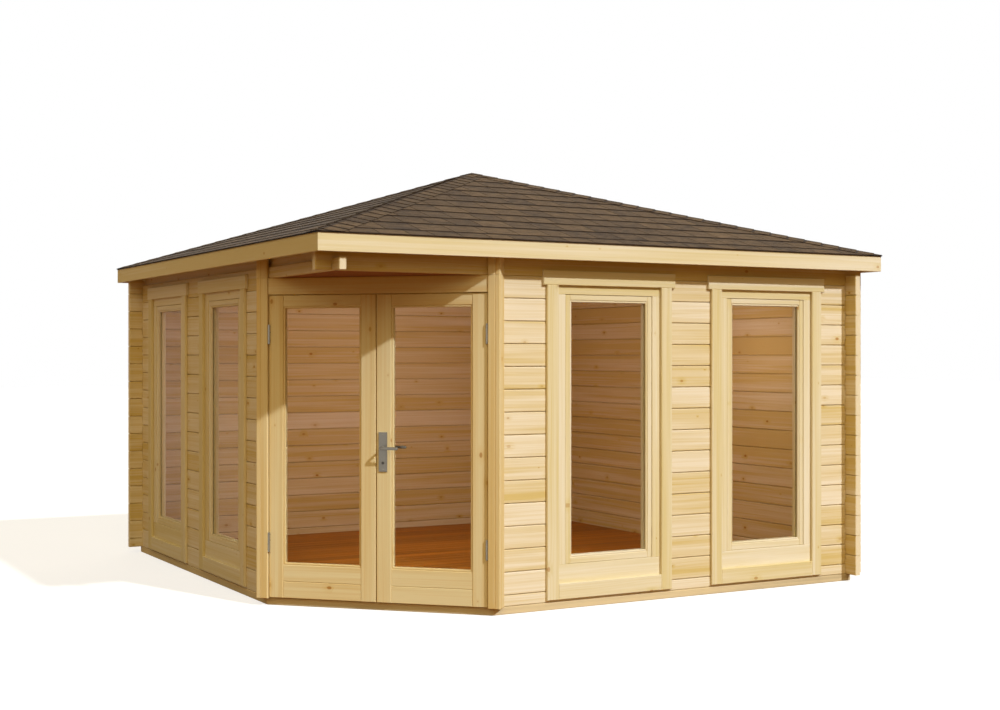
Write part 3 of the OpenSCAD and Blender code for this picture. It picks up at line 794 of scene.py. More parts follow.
def lay_tongue(boards, joint, left, right, place, holes, crossings, cuts):
    """The tongue inside a joint between two logs, left out at holes and crossings."""
    sizes = bpy.context.scene.house_logs
    gaps = [(at - LOG_DEPTH / 2, at + LOG_DEPTH / 2) for at in crossings]
    if sizes.window_foot < joint < sizes.window_top:
        gaps += holes
    begin = left + sizes.bevel
    rise, thick = 0.012, 0.014  # of the tongue, above and below the joint and through the wall
    for start, end in [*sorted(gaps), (right - sizes.bevel, right)]:
        boards.add(oblong(begin, start, joint - rise, joint + rise), thick,
                   upright_lay(-HALF + (LOG_DEPTH - thick) / 2), place, bevel=0.001, cuts=cuts)
        begin = end


def lay_logs(boards, feet, left, right, place, holes=(), crossings=(), cuts=()):
    """A stack of logs, split at the window holes and notched where other logs cross."""
    sizes = bpy.context.scene.house_logs
    quarter = sizes.log_height / 4
    for joint in feet[1:-1]:
        lay_tongue(boards, joint, left, right, place, holes, crossings, cuts)
    for low, high in zip(feet, feet[1:]):
        rooms = [
            (at - LOG_DEPTH / 2, at + LOG_DEPTH / 2, z - quarter, z + quarter)
            for at in crossings
            for z in (low, high)
            if high - low > 3 * quarter or z == high
        ]
        splits = []
        for start, end in holes:
            if sizes.window_foot <= low + NEARLY and sizes.window_top >= high - NEARLY:
                splits.append((start, end))
            elif sizes.window_foot < high and sizes.window_top > low:
                rooms.append((start, end, sizes.window_foot, sizes.window_top))
        begin = left
        for start, end in [*splits, (right, right)]:
            inside = [room for room in rooms if begin <= room[0] and room[1] <= start]
            boards.add(
                log_outline(begin, start, low + sizes.joint / 2, high - sizes.joint / 2, inside),
                LOG_DEPTH, upright_lay(-HALF), place, bevel=sizes.bevel, cuts=cuts,
            )
            begin = end


def stack_feet(first, top, height, start):
    """Heights of the joints of a stack, whose first log may be a half one."""
    feet = [start]
    z = first
    while z < top + NEARLY:
        if z > start + NEARLY:
            feet.append(z)
        z += height
    return feet


def window_holes(wall):
    """The window holes of the front or left wall, as places along it."""
    along = {"front": 0, "left": 1}[wall]
    boxes = [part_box(f"{wall}_{which}_window_frame") for which in ("near", "far")]
    return [(low[along], high[along]) for low, high in boxes]


def post_cut():
    """The plane at the outer side of the right corner post, which the logs end at."""
    sizes = bpy.context.scene.house_doors
    reach = (sizes.opening + sizes.jamb + sizes.post) / ROOT_2
    return ((reach, -reach, 0), (-1, 1, 0))


class HOUSE_OT_walls(bpy.types.Operator):
    """Stack the wall logs, with the combs of their ends at the corners"""

    bl_idname = "house.walls"
    bl_label = "Log walls"

    def execute(self, context):
        height = context.scene.house_logs.log_height
        crossing = HALF - LOG_DEPTH / 2
        cross = stack_feet(WALL_FOOT + height / 2, TOP_LOG_FOOT, height, WALL_FOOT)
        side = stack_feet(WALL_FOOT, SIDE_TOP - height, height, WALL_FOOT)
        # The back and right walls take warmer tone ranges than the front and left: painted shade
        # for their combs' shaded sides and their inner faces.
        for name, place, feet, tones in (
            ("front", FRONT, cross, (0.0, 1.0)),
            ("left", LEFT, side, (0.0, 1.0)),
            ("back", BACK, cross + [CROSS_TOP], (0.2, 1.2)),
            ("right", RIGHT, side + [SIDE_TOP], (0.8, 1.6)),
        ):
            logs = Boards(name + " wall", tones)
            if name in ("front", "left"):
                lay_logs(logs, feet, -HALF, REACH, place, window_holes(name), [crossing],
                         [post_cut()])
            else:
                lay_logs(logs, feet, -REACH, REACH, place, (), [-crossing, crossing])
            logs.piece(name + "_wall_logs", "root", "log_wood", wood("Log spruce"),
                       name + "_wall")
        return {"FINISHED"}


class HOUSE_OT_top_logs(bpy.types.Operator):
    """Lay the top logs that run on over the porch and cross at its corner"""

    bl_idname = "house.top_logs"
    bl_label = "Top logs"

    def execute(self, context):
        sizes = context.scene.house_logs
        quarter = sizes.log_height / 4
        timber = wood("Log spruce")
        far = (HALF - LOG_DEPTH, HALF)
        front = Boards("front top log")
        rooms = [(*far, TOP_LOG_FOOT - quarter, TOP_LOG_FOOT + quarter),
                 (-far[1], -far[0], TOP_LOG_FOOT - quarter, TOP_LOG_FOOT + quarter)]
        front.add(
            log_outline(-REACH, REACH, TOP_LOG_FOOT, CROSS_TOP, rooms), LOG_DEPTH,
            upright_lay(-HALF), bevel=sizes.bevel, tone=1.3,
        )
        front.piece("front_top_log_board", "root", "log_wood", timber, "front_top_log")

        # Over the doorway the left top log is only half as high
        left = Boards("left top log")
        foot = SIDE_TOP - sizes.log_height
        doors = context.scene.house_doors
        porch_end = (doors.opening + doors.jamb + doors.post) * ROOT_2 - HALF
        rooms = [(*far, foot - quarter, foot + quarter),
                 (*far, SIDE_TOP - quarter, SIDE_TOP + quarter)]
        rooms += [(start, end, sizes.window_foot, sizes.window_top)
                  for start, end in window_holes("left")]
        outline = log_outline(porch_end, REACH, foot, SIDE_TOP, rooms)
        outline = outline[:-1] + [
            (-far[0], SIDE_TOP), (-far[0], TOP_LOG_FOOT + quarter),
            (-far[1], TOP_LOG_FOOT + quarter), (-far[1], SIDE_TOP), (-REACH, SIDE_TOP),
            (-REACH, TOP_LOG_FOOT), (porch_end, TOP_LOG_FOOT),
        ]
        left.add(outline, LOG_DEPTH, upright_lay(-HALF), LEFT, bevel=sizes.bevel, tone=1.0)
        left.piece("left_top_log_board", "root", "log_wood", timber, "left_top_log")
        return {"FINISHED"}


class HOUSE_OT_base(bpy.types.Operator):
    """Lay the bearers, the joists and the floor boards"""

    bl_idname = "house.base"
    bl_label = "Base and floor"

    def execute(self, context):
        low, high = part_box("base_frame")
        depth = high[2] - low[2]
        doors = context.scene.house_doors
        width, setback = 0.095, 0.041  # of the bearers, and of the one under the doors
        reach = HALF - width
        outer_line = (doors.face - setback) * ROOT_2
        inner_line = (doors.face - setback - width) * ROOT_2
        base = Boards("base")
        front = [(HALF - outer_line, -HALF), (HALF, -HALF), (reach, -reach),
                 (reach - inner_line, -reach)]
        back = [(-HALF, -HALF), (HALF, -HALF), (reach, -reach), (-reach, -reach)]
        for place, outline in ((FRONT, front), (LEFT, front), (BACK, back), (RIGHT, back)):
            base.add(outline, depth, plan_lay(0), place)
        corner = [(-HALF, HALF - outer_line), (HALF - outer_line, -HALF),
                  (reach - inner_line, -reach), (-reach, reach - inner_line)]
        base.add(corner, depth, plan_lay(0), grain=(1, -1))
        joists, joist = 7, 0.045
        under_doors = ((-inner_line / 2, -inner_line / 2, 0), (-1, -1, 0))
        for i in range(1, joists + 1):
            y = -HALF + i * 2 * HALF / (joists + 1)
            base.add(oblong(-reach, reach, y - joist / 2, y + joist / 2), depth, plan_lay(0),
                     cuts=[under_doors])
        base.piece("bearers_and_joists", "root", "bearer_wood", wood("Sawn bearer"), "base_frame")

        low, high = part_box("floor_boards")
        floor = Boards("floor")
        board, seam = 0.114, 0.001
        gap = INNER - high[0]
        door_line = doors.face - doors.jamb_depth - gap
        cuts = [((-door_line / ROOT_2, -door_line / ROOT_2, 0), (-1, -1, 0))]
        y = low[1]
        while y < high[1] - LEAST_BOARD:
            end = min(y + board, high[1])
            floor.add(oblong(low[0], high[0], y + seam, end - seam), high[2] - low[2],
                      plan_lay(low[2]), cuts=cuts, bevel=0.0015)
            y += board
        floor.piece("floor", "root", "floor_wood", wood("Oiled floor"), "floor_boards")
        return {"FINISHED"}


# ---- windows


def add_frame(boards, half, low, high, side, head, foot, depth, lay, place, centre,
              full_stiles=False, **extra):
    """Four boards round an opening: the stiles or the rails run the full length."""
    inner = half - side
    rails = inner if full_stiles else half
    stiles = (low, high) if full_stiles else (low + foot, high - head)
    for left, right in ((-half, -inner), (inner, half)):
        boards.add(oblong(centre + left, centre + right, *stiles), depth, lay, place,
                   grain=(0, 1), **extra)
    for start, end in ((low, low + foot), (high - head, high)):
        boards.add(oblong(centre - rails, centre + rails, start, end), depth, lay, place, **extra)


def add_beads(boards, left, right, low, high, width, depth, lay, place, bevel=0.003):
    """Four mitred beads round a pane, outside the clear glass."""
    out = [(left - width, low - width), (right + width, low - width),
           (right + width, high + width), (left - width, high + width)]
    clear = [(left, low), (right, low), (right, high), (left, high)]
    for i in range(4):
        j = (i + 1) % 4
        boards.add([out[i], out[j], clear[j], clear[i]], depth, lay, place,
                   grain=(1, 0) if i % 2 == 0 else (0, 1), bevel=bevel)


def dress_window(wall, which, place, centre):
    """The casing and the frame of one window."""
    sizes = bpy.context.scene.house_windows
    timber = wood("Joinery spruce")
    stem = f"{wall}_{which}_window"
    along = {"front": 0, "left": 1}[wall]
    low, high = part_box(f"{stem}_casing")
    foot, top = low[2], high[2]
    thick = -HALF - min(low[1 - along], high[1 - along])
    half = (high[along] - low[along]) / 2 - sizes.casing_ear
    clear = half - sizes.casing
    casing = Boards(stem + " casing")
    lay = upright_lay(-HALF - thick)
    shoulder = top - sizes.casing_head
    # On the left wall one side board of each casing takes a warmer tone: painted shade of that
    # shaded wall.
    even, warm = 0.8, 1.8
    for left, right, tone in ((-half, -clear, even),
                              (clear, half, warm if wall == "left" else even)):
        casing.add(oblong(centre + left, centre + right, foot, shoulder), thick, lay, place,
                   grain=(0, 1), tone=tone)
    ear = half + sizes.casing_ear
    for left, right, start, end in ((-clear, clear, foot, foot + sizes.casing_foot),
                                    (-ear, ear, shoulder, top)):
        casing.add(oblong(centre + left, centre + right, start, end), thick, lay, place,
                   tone=even)
    casing.piece(stem + "_casing_boards", "root", "frame_wood", timber, stem + "_casing")

    low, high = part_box(f"{stem}_frame")
    foot, top = low[2], high[2]
    half = (high[along] - low[along]) / 2
    frame_boards = Boards(stem + " frame")
    add_frame(frame_boards, half, foot, top, sizes.frame_side, sizes.frame_head,
              sizes.frame_foot, sizes.frame_depth, upright_lay(-HALF), place, centre, bevel=0.002)
    gap = sizes.sash_gap
    half -= sizes.frame_side
    foot, top = foot + sizes.frame_foot, top - sizes.frame_head
    sight = (half - sizes.sash_side, foot + sizes.sash_foot, top - sizes.sash_side)
    add_frame(
        frame_boards, half - gap, foot + gap, top - gap, sizes.sash_side - gap - sizes.bead,
        sizes.sash_side - gap - sizes.bead, sizes.sash_foot - gap - sizes.bead,
        sizes.frame_depth - 2 * sizes.sash_setback,
        upright_lay(-HALF + sizes.sash_setback), place, centre, full_stiles=True, bevel=0.003,
    )
    bead_face = sizes.sash_setback + sizes.bead_drop
    back = sizes.pane_depth + sizes.pane
    for face, depth in ((bead_face, sizes.pane_depth - bead_face),
                        (back, sizes.frame_depth - bead_face - back)):
        add_beads(frame_boards, centre - sight[0], centre + sight[0], sight[1], sight[2],
                  sizes.bead, depth, upright_lay(-HALF + face), place)
    frame_boards.piece(stem + "_joinery", "root", "frame_wood", timber, stem + "_frame")


class HOUSE_OT_windows(bpy.types.Operator):
    """Make the casings, frames, sashes and beads of the four windows"""

    bl_idname = "house.windows"
    bl_label = "Windows"

    def execute(self, context):
        for wall, place in (("front", FRONT), ("left", LEFT)):
            for which, (start, end) in zip(("near", "far"), window_holes(wall)):
                dress_window(wall, which, place, (start + end) / 2)
        return {"FINISHED"}


# ---- doorway


def before_walls(side):
    """The cut that keeps only what stands in front of a wall's face."""
    return ((0, -HALF, 0), (0, 1, 0)) if side > 0 else ((-HALF, 0, 0), (1, 0, 0))


def add_upright(boards, side, start, end, face, depth, **extra):
    """A post or jamb: full depth under the top logs, and in front of them to the roof."""
    deck = bpy.context.scene.house_roof.deck
    lay = door_lay(face, side)
    boards.add(oblong(start, end, WALL_FOOT, TOP_LOG_FOOT), depth, lay, grain=(0, 1), **extra)
    below, above = 0.01, 0.2  # spare lengths, which the cuts take off
    boards.add(
        oblong(start, end, TOP_LOG_FOOT - below, CROSS_TOP + above), depth, lay, grain=(0, 1),
        cuts=[before_walls(side), *under_boards(deck), ((0, 0, TOP_LOG_FOOT), (0, 0, -1))],
        **extra,
    )


class HOUSE_OT_doorway(bpy.types.Operator):
    """Set up the corner posts, jambs, head, threshold and porch ceiling"""

    bl_idname = "house.doorway"
    bl_label = "Doorway and porch"

    def execute(self, context):
        sizes = context.scene.house_doors
        timber = wood("Doorway spruce")
        jamb_edge = sizes.opening + sizes.jamb
        head_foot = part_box("door_head")[0][2] + sizes.stop_width
        for name, side in (("left", -1), ("right", 1)):
            post = Boards(name + " post")
            add_upright(post, side, jamb_edge, jamb_edge + sizes.post, sizes.face,
                        sizes.post_depth, tone=0.8)
            post.piece(name + "_post_board", "root", "frame_wood", timber, name + "_corner_post")
            jamb = Boards(name + " jamb")
            add_upright(jamb, side, sizes.opening, jamb_edge, sizes.face, sizes.jamb_depth,
                        tone=0.6)
            jamb.add(
                oblong(sizes.opening - sizes.stop_width, sizes.opening, WALL_FOOT, head_foot),
                sizes.jamb_depth - sizes.stop_face, door_lay(sizes.face - sizes.stop_face, side),
                grain=(0, 1), bevel=0.002,
            )
            jamb.piece(name + "_jamb_boards", "root", "frame_wood", timber, name + "_door_jamb")
        head = Boards("door head")
        end = sizes.opening - sizes.head_gap
        below_log = 0.001
        head.add(oblong(-end, end, head_foot, TOP_LOG_FOOT - below_log),
                 sizes.jamb_depth - sizes.head_setback, door_lay(sizes.face - sizes.head_setback),
                 tone=0.0)
        stop = sizes.opening - sizes.stop_width
        head.add(
            oblong(-stop, stop, head_foot - sizes.stop_width, head_foot),
            sizes.jamb_depth - sizes.stop_face, door_lay(sizes.face - sizes.stop_face),
            bevel=0.002,
        )
        head.piece("door_head_board", "root", "frame_wood", timber, "door_head")
        low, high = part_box("door_threshold")
        sill = Boards("threshold")
        sill.add(oblong(-stop, stop, low[2], high[2]), sizes.jamb_depth - sizes.stop_face,
                 door_lay(sizes.face - sizes.stop_face), tone=0.8)
        sill.piece("threshold_board", "root", "frame_wood", timber, "door_threshold")

        # The porch ceiling boards take a dark colour that is painted shade under the porch roof.
        low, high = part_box("porch_soffit")
        ceiling = Boards("porch ceiling")
        corner = -(low[0] + low[1]) / ROOT_2
        board, seam = 0.096, 0.001
        start = sizes.face - sizes.jamb_depth
        edges = [((low[0], 0, 0), (-1, 0, 0)), ((0, low[1], 0), (0, -1, 0))]
        while start < corner - LEAST_BOARD:
            end = min(start + board, corner)
            half = corner - start
            ceiling.add(oblong(-half, half, start + seam, end - seam), high[2] - low[2],
                        porch_plan_lay(low[2]), cuts=edges)
            start += board
        ceiling.piece("porch_ceiling", "root", "floor_wood", wood("Porch ceiling"), "porch_soffit")
        return {"FINISHED"}


class HOUSE_OT_doors(bpy.types.Operator):
    """Make the stiles, rails, foot boards and beads of the two door leaves"""

    bl_idname = "house.doors"
    bl_label = "Door leaves"

    def execute(self, context):
        sizes = context.scene.house_doors
        windows = context.scene.house_windows
        timber = wood("Doorway spruce")
        foot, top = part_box("right_door_leaf")[0][2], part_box("right_door_leaf")[1][2]
        face = sizes.face - sizes.leaf_recess
        left, right = sizes.leaf_inner + sizes.stile, sizes.leaf_outer - sizes.stile
        low, high = foot + sizes.foot_rail, top - sizes.top_rail
        bead = windows.bead
        line = sizes.joint_gap
        for name, side in (("left", -1), ("right", 1)):
            leaf = Boards(name + " door")
            lay = door_lay(face, side)
            for start, end in ((sizes.leaf_inner, left - bead), (right + bead, sizes.leaf_outer)):
                leaf.add(oblong(start, end, foot, top), sizes.leaf_depth, lay, grain=(0, 1),
                         tone=leaf.chance.uniform(0.1, 0.5))
            lay = door_lay(face - sizes.rail_setback, side)
            depth = sizes.leaf_depth - 2 * sizes.rail_setback
            joint = foot + sizes.foot_joint
            for start, end in ((foot, joint - line), (joint + line, low - bead),
                               (high + bead, top)):
                leaf.add(oblong(left - bead, right + bead, start, end), depth, lay,
                         tone=leaf.chance.uniform(0.0, 0.2))
            pane_face = (sizes.leaf_depth - windows.pane) / 2
            drop = sizes.rail_setback + windows.bead_drop
            for start in (drop, pane_face + windows.pane):
                add_beads(leaf, left, right, low, high, bead, pane_face - drop,
                          door_lay(face - start, side), Matrix())
            leaf.piece(name + "_door_boards", name + "_door", "frame_wood", timber,
                       name + "_door_leaf")
        return {"FINISHED"}


class HOUSE_OT_panes(bpy.types.Operator):
    """Glaze the windows and the doors"""

    bl_idname = "house.panes"
    bl_label = "Glass"

    def execute(self, context):
        glass = glass_material()
        for name in ("front_window_glass", "left_window_glass", "left_door_glass",
                     "right_door_glass"):
            refinish(name, glass)
        return {"FINISHED"}


# ---- fittings


def circle(sides):
    """The cosine and sine of equal steps round a circle."""
    turns = [2 * math.pi * k / sides for k in range(sides)]
    return [(math.cos(turn), math.sin(turn)) for turn in turns]


def tube_faces(rings, sides):
    """The faces between rings of points that follow one another, closed at both ends."""
    faces = []
    for i in range(rings - 1):
        for k in range(sides):
            n = (k + 1) % sides
            faces.append((i * sides + k, i * sides + n, (i + 1) * sides + n, (i + 1) * sides + k))
    faces.append(tuple(range(sides))[::-1])
    faces.append(tuple((rings - 1) * sides + k for k in range(sides)))
    return faces


def swept(path, sizes, sides=20):
    """A closed bar along a path, with a width and a height at each of its points."""
    points = []
    for i, spot in enumerate(path):
        ahead = (path[min(i + 1, len(path) - 1)] - path[max(i - 1, 0)]).normalized()
        across = ahead.cross(Vector((0, 0, 1))).normalized()
        up = across.cross(ahead)
        wide, high = sizes[i]
        points += [spot + across * c * wide + up * s * high for c, s in circle(sides)]
    return points, tube_faces(len(path), sides)


def turned(profile, place, sides=32):
    """A round fitting from its profile, pairs of radius and height, closed at both ends."""
    points = [place @ Vector((radius * c, radius * s, height))
              for radius, height in profile for c, s in circle(sides)]
    return points, tube_faces(len(profile), sides)


def boxed(corners):
    """A box from the four corners of its face, then the four behind them."""
    return corners, [(0, 1, 2, 3), (4, 5, 6, 7), (0, 1, 5, 4), (1, 2, 6, 5), (2, 3, 7, 6),
                     (3, 0, 4, 7)]


def gathered(name, parts, material, smooth=True):
    """One mesh of several sets of points and faces."""
    shape = bmesh.new()
    for points, faces in parts:
        verts = [shape.verts.new(spot) for spot in points]
        for corners in faces:
            shape.faces.new([verts[i] for i in corners])
    bmesh.ops.recalc_face_normals(shape, faces=shape.faces[:])
    for face in shape.faces:
        face.smooth = smooth and len(face.verts) == 4
    mesh = bpy.data.meshes.new(name)
    shape.to_mesh(mesh)
    shape.free()
    mesh.materials.append(material)
    return mesh


class HOUSE_OT_hinges(bpy.types.Operator):
    """Finish the barrel hinges in zinc plated steel"""

    bl_idname = "house.hinges"
    bl_label = "Hinges"

    def execute(self, context):
        for name in ("jamb_hinges", "left_leaf_hinges", "right_leaf_hinges"):
            refinish(name, steel("Hinge steel"), 0.0008)
        return {"FINISHED"}


class HOUSE_OT_handle(bpy.types.Operator):
    """Make the lever, its collars, the plates' screws and the keyway"""

    bl_idname = "house.handle"
    bl_label = "Handle and lock"

    def execute(self, context):
        refinish("handle_plates", steel("Plate steel"), 0.002, 3)
        refinish("lock_cylinder", steel("Lock steel"), 0.0008, 3)
        sizes = context.scene.house_handle
        doors = context.scene.house_doors
        lever = next(joint for joint in frame["joints"] if joint["name"] == "lever_turn")
        spindle_z = lever["pos_m"][2]
        spindle = doors.leaf_inner + sizes.spindle
        outside = doors.face - doors.leaf_recess + sizes.plate
        inside = doors.face - doors.leaf_recess - doors.leaf_depth - sizes.plate
        lay = door_lay(0)
        levers, collars, keyways = [], [], []
        for face, out in ((outside, 1), (inside, -1)):
            def at(along, away, rise=0.0):
                """A place along the lever, away from the plate and above the spindle."""
                return lay @ Vector((spindle + along, spindle_z + rise, -(face + out * away)))

            def put(profile, rise=0.0, sides=32):
                """A round fitting that stands on the plate."""
                facing = (Matrix.Rotation(math.radians(-45), 4, "Z")
                          @ Matrix.Rotation(math.radians(90 * out), 4, "X"))
                collars.append(turned(profile, Matrix.Translation(at(0, 0, rise)) @ facing, sides))

            levers.append(self.lever_bar(at, sizes))
            put([(0.0120, 0.0), (0.0120, 0.0022), (0.0108, 0.0034), (0.0078, 0.0036)])
            screw = [(0.0044, 0.0), (0.0042, 0.0009), (0.0030, 0.0017), (0.0010, 0.0020)]
            put(screw, sizes.screw_rise, 20)
            put(screw, -sizes.screw_drop, 20)
            back, front = 0.0014, 0.0023  # of the keyway's dark blocks, painted shade of its slot, off the plate
            for wide, low, high in ((0.0011, -0.0045, 0.0005), (0.0019, 0.0002, 0.0040)):
                corners = ((-wide, low), (wide, low), (wide, high), (-wide, high))
                keyways.append(boxed([at(along, away, rise - sizes.keyway)
                                      for away in (back, front) for along, rise in corners]))
        keep(gathered("lever", levers, steel("Plate steel")), "lever", "handle", "plate_steel",
             "handle_lever")
        keep(gathered("collars_and_screws", collars, steel("Hinge steel")), "collars_and_screws",
             "right_door", "hinge_steel")
        dark = self.keyway_shade_material()
        keep(gathered("keyway", keyways, dark, False), "keyway", "right_door", "plate_steel")
        return {"FINISHED"}

    def lever_bar(self, at, sizes):
        """A lever from the plate out to its bend and along to its tip."""
        root, bends = 0.0005, 5
        straight = sizes.stand - sizes.bend
        path, widths = [at(0, root), at(0, straight)], [(sizes.neck, sizes.neck)] * 2
        for step in range(1, bends + 1):
            turn = math.pi / 2 * step / bends
            path.append(at(sizes.bend * (1 - math.cos(turn)),
                           straight + sizes.bend * math.sin(turn)))
            widths.append((sizes.neck - 0.0004 * step, sizes.neck + 0.0002 * step))
        for along, wide, high in (
            (0.030, 0.0050, 0.0088), (0.070, 0.0046, 0.0090), (0.100, 0.0044, 0.0088),
            (sizes.arm - 0.004, 0.0042, 0.0080), (sizes.arm - 0.001, 0.0034, 0.0062),
            (sizes.arm, 0.0016, 0.0030),
        ):
            path.append(at(along, sizes.stand))
            widths.append((wide, high))
        return swept(path, widths)

    def keyway_shade_material(self):
        """Painted shade for the keyway's slot, a little lighter and darker in specks."""
        made, tree, shader = new_material("Keyway")
        set_values(shader, Roughness=0.6)
        shade_speckle = noise(tree, node(tree, "ShaderNodeTexCoord").outputs["Object"], 900.0)
        tree.links.new(blended(tree, shade_speckle, (0.012, 0.012, 0.012), (0.03, 0.028, 0.025)),
                       shader.inputs["Base Color"])
        return made


# ---- roof


class HOUSE_OT_roof_frame(bpy.types.Operator):
    """Set the roof plates and the rafters"""

    bl_idname = "house.roof_frame"
    bl_label = "Roof plates and rafters"

    def execute(self, context):
        sizes = context.scene.house_roof
        timber = wood("Joinery spruce")
        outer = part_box("front_back_plates")[1][1]
        inner = outer - sizes.plate
        mitred = [(-outer, -outer), (outer, -outer), (inner, -inner), (-inner, -inner)]
        roof = under_boards(sizes.deck)
        past_roof = 0.20
        plates = Boards("front and back plates")
        sides = Boards("side plates")
        for quarter, boards in zip(QUARTERS, (plates, sides, plates, sides)):
            boards.add(mitred, past_roof, plan_lay(CROSS_TOP), quarter, cuts=roof)
            if boards is sides:
                boards.add(oblong(-INNER, INNER, -outer, -inner), CROSS_TOP - SIDE_TOP,
                           plan_lay(SIDE_TOP), quarter)
        plates.piece("front_back_plate_boards", "root", "frame_wood", timber, "front_back_plates")
        sides.piece("side_plate_boards", "root", "frame_wood", timber, "side_plates")

        rafters = Boards("rafters")
        drop = sizes.rafter_depth / math.cos(PITCH)
        top = DECK_PEAK - sizes.deck / math.cos(PITCH)
        near, spare, under = 0.080, 0.03, 0.01
        for turn in range(8):
            square = turn % 2 == 0
            run = SLOPE if square else SLOPE / ROOT_2
            reach = inner if square else inner * ROOT_2
            outline = [(near, top - near * run - drop), (reach, top - reach * run - drop),
                       (reach, top - reach * run + spare), (near, top - near * run + spare)]
            back = Matrix.Rotation(-turn * math.pi / 4, 3, "Z")
            rafters.add(outline, sizes.rafter, upright_lay(-sizes.rafter / 2),
                        Matrix.Rotation(turn * math.pi / 4, 4, "Z"), grain=(1, -run),
                        cuts=roof if square else [(p, back @ Vector(n)) for p, n in roof])
        corners = [math.pi * (k + 0.5) / 4 for k in range(8)]
        block = [(sizes.hub * math.cos(turn), sizes.hub * math.sin(turn)) for turn in corners]
        rafters.add(block, past_roof, plan_lay(top - drop - under), cuts=roof)
        rafters.piece("rafters", "root", "frame_wood", timber, "roof_rafters")
        return {"FINISHED"}


class HOUSE_OT_roof_boards(bpy.types.Operator):
    """Board the four slopes of the roof"""

    bl_idname = "house.roof_boards"
    bl_label = "Roof boards"

    def execute(self, context):
        sizes = context.scene.house_roof
        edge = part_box("front_back_roof_boards")[1][1]
        run = edge / math.cos(PITCH)
        seam, spare = 0.0008, 0.01
        past_hip, short_of_peak = 0.1, 0.002
        for name, turns, node_name in (("front_back", (0, 2), "front_back_roof_boards"),
                                       ("side", (1, 3), "side_roof_boards")):
            boards = Boards(name + " roof boards")
            for turn in turns:
                start = 0.0
                while start < run:
                    end = min(start + sizes.board, run + spare)
                    half = (run - start) * math.cos(PITCH) + past_hip
                    boards.add(
                        oblong(-half, half, -run + start + seam - spare,
                               -run + end - seam - spare),
                        sizes.deck, slope_lay(-sizes.deck), QUARTERS[turn], bevel=0.002,
                        cuts=[*HIP_CUTS, ((0, -edge, 0), (0, -1, 0)),
                              ((0, -short_of_peak, 0), (0, 1, 0))],
                    )
                    start += sizes.board
            boards.piece(name + "_roof_planks", "root", "roof_board_wood", wood("Roof board"),
                         node_name)
        return {"FINISHED"}


class Shingles(Boards):
    """Shingle tabs and hip caps, thin wedges that lie on the slopes."""

    edge_tone, band_tone = -3.0, -1.0  # of a tab's cut edge, and of the painted shadow that the next tab's edge throws

    def wedge(self, outline, lows, highs, quarter, cuts, tone, shadow_line=None):
        """A tab from its outline on the slope, with a foot and a top height at each corner.

        The last argument is a direction on the slope and a distance that way, beyond which the
        granules are darkened: painted shadow of the next tab's edge, in a band below that edge and
        on under it.
        """
        lay = slope_lay(0)
        tab = bmesh.new()
        shade = tab.verts.layers.float.new("tone")
        foot = [tab.verts.new(lay @ Vector((*spot, low))) for spot, low in zip(outline, lows)]
        top = [tab.verts.new(lay @ Vector((*spot, high))) for spot, high in zip(outline, highs)]
        for vert in tab.verts:
            vert[shade] = tone
        for vert in foot:
            vert[shade] = self.edge_tone
        tab.faces.new(foot[::-1])
        tab.faces.new(top)
        for i in range(len(outline)):
            j = (i + 1) % len(outline)
            tab.faces.new((foot[i], foot[j], top[j], top[i]))
        trim(tab, cuts)
        flat = lay.inverted()
        # Painted shadow: the granules darken in a band below the next tab's edge.
        if shadow_line:
            way, line, blur = Vector((*shadow_line[0], 0)), shadow_line[1], 0.008
            for reach in (line, line + blur):
                bmesh.ops.bisect_plane(
                    tab, geom=tab.verts[:] + tab.edges[:] + tab.faces[:],
                    plane_co=lay @ (way * reach), plane_no=lay.to_3x3() @ way,
                )
        if tab.verts:
            bmesh.ops.recalc_face_normals(tab, faces=tab.faces[:])
            shift = Vector((self.chance.uniform(0, 40), self.chance.uniform(0, 40), 0))
            first = len(self.points)
            for vert in tab.verts:
                self.points.append(quarter @ vert.co)
                self.grain.append(tuple(vert.co + shift))
                dark = shadow_line and (flat @ vert.co).dot(way) > line + blur / 2
                self.tone.append(min(vert[shade], self.band_tone) if dark else vert[shade])
            tab.verts.index_update()
            for face in tab.faces:
                self.faces.append([first + vert.index for vert in face.verts])
                self.end_grain.append(0.0)
        tab.free()


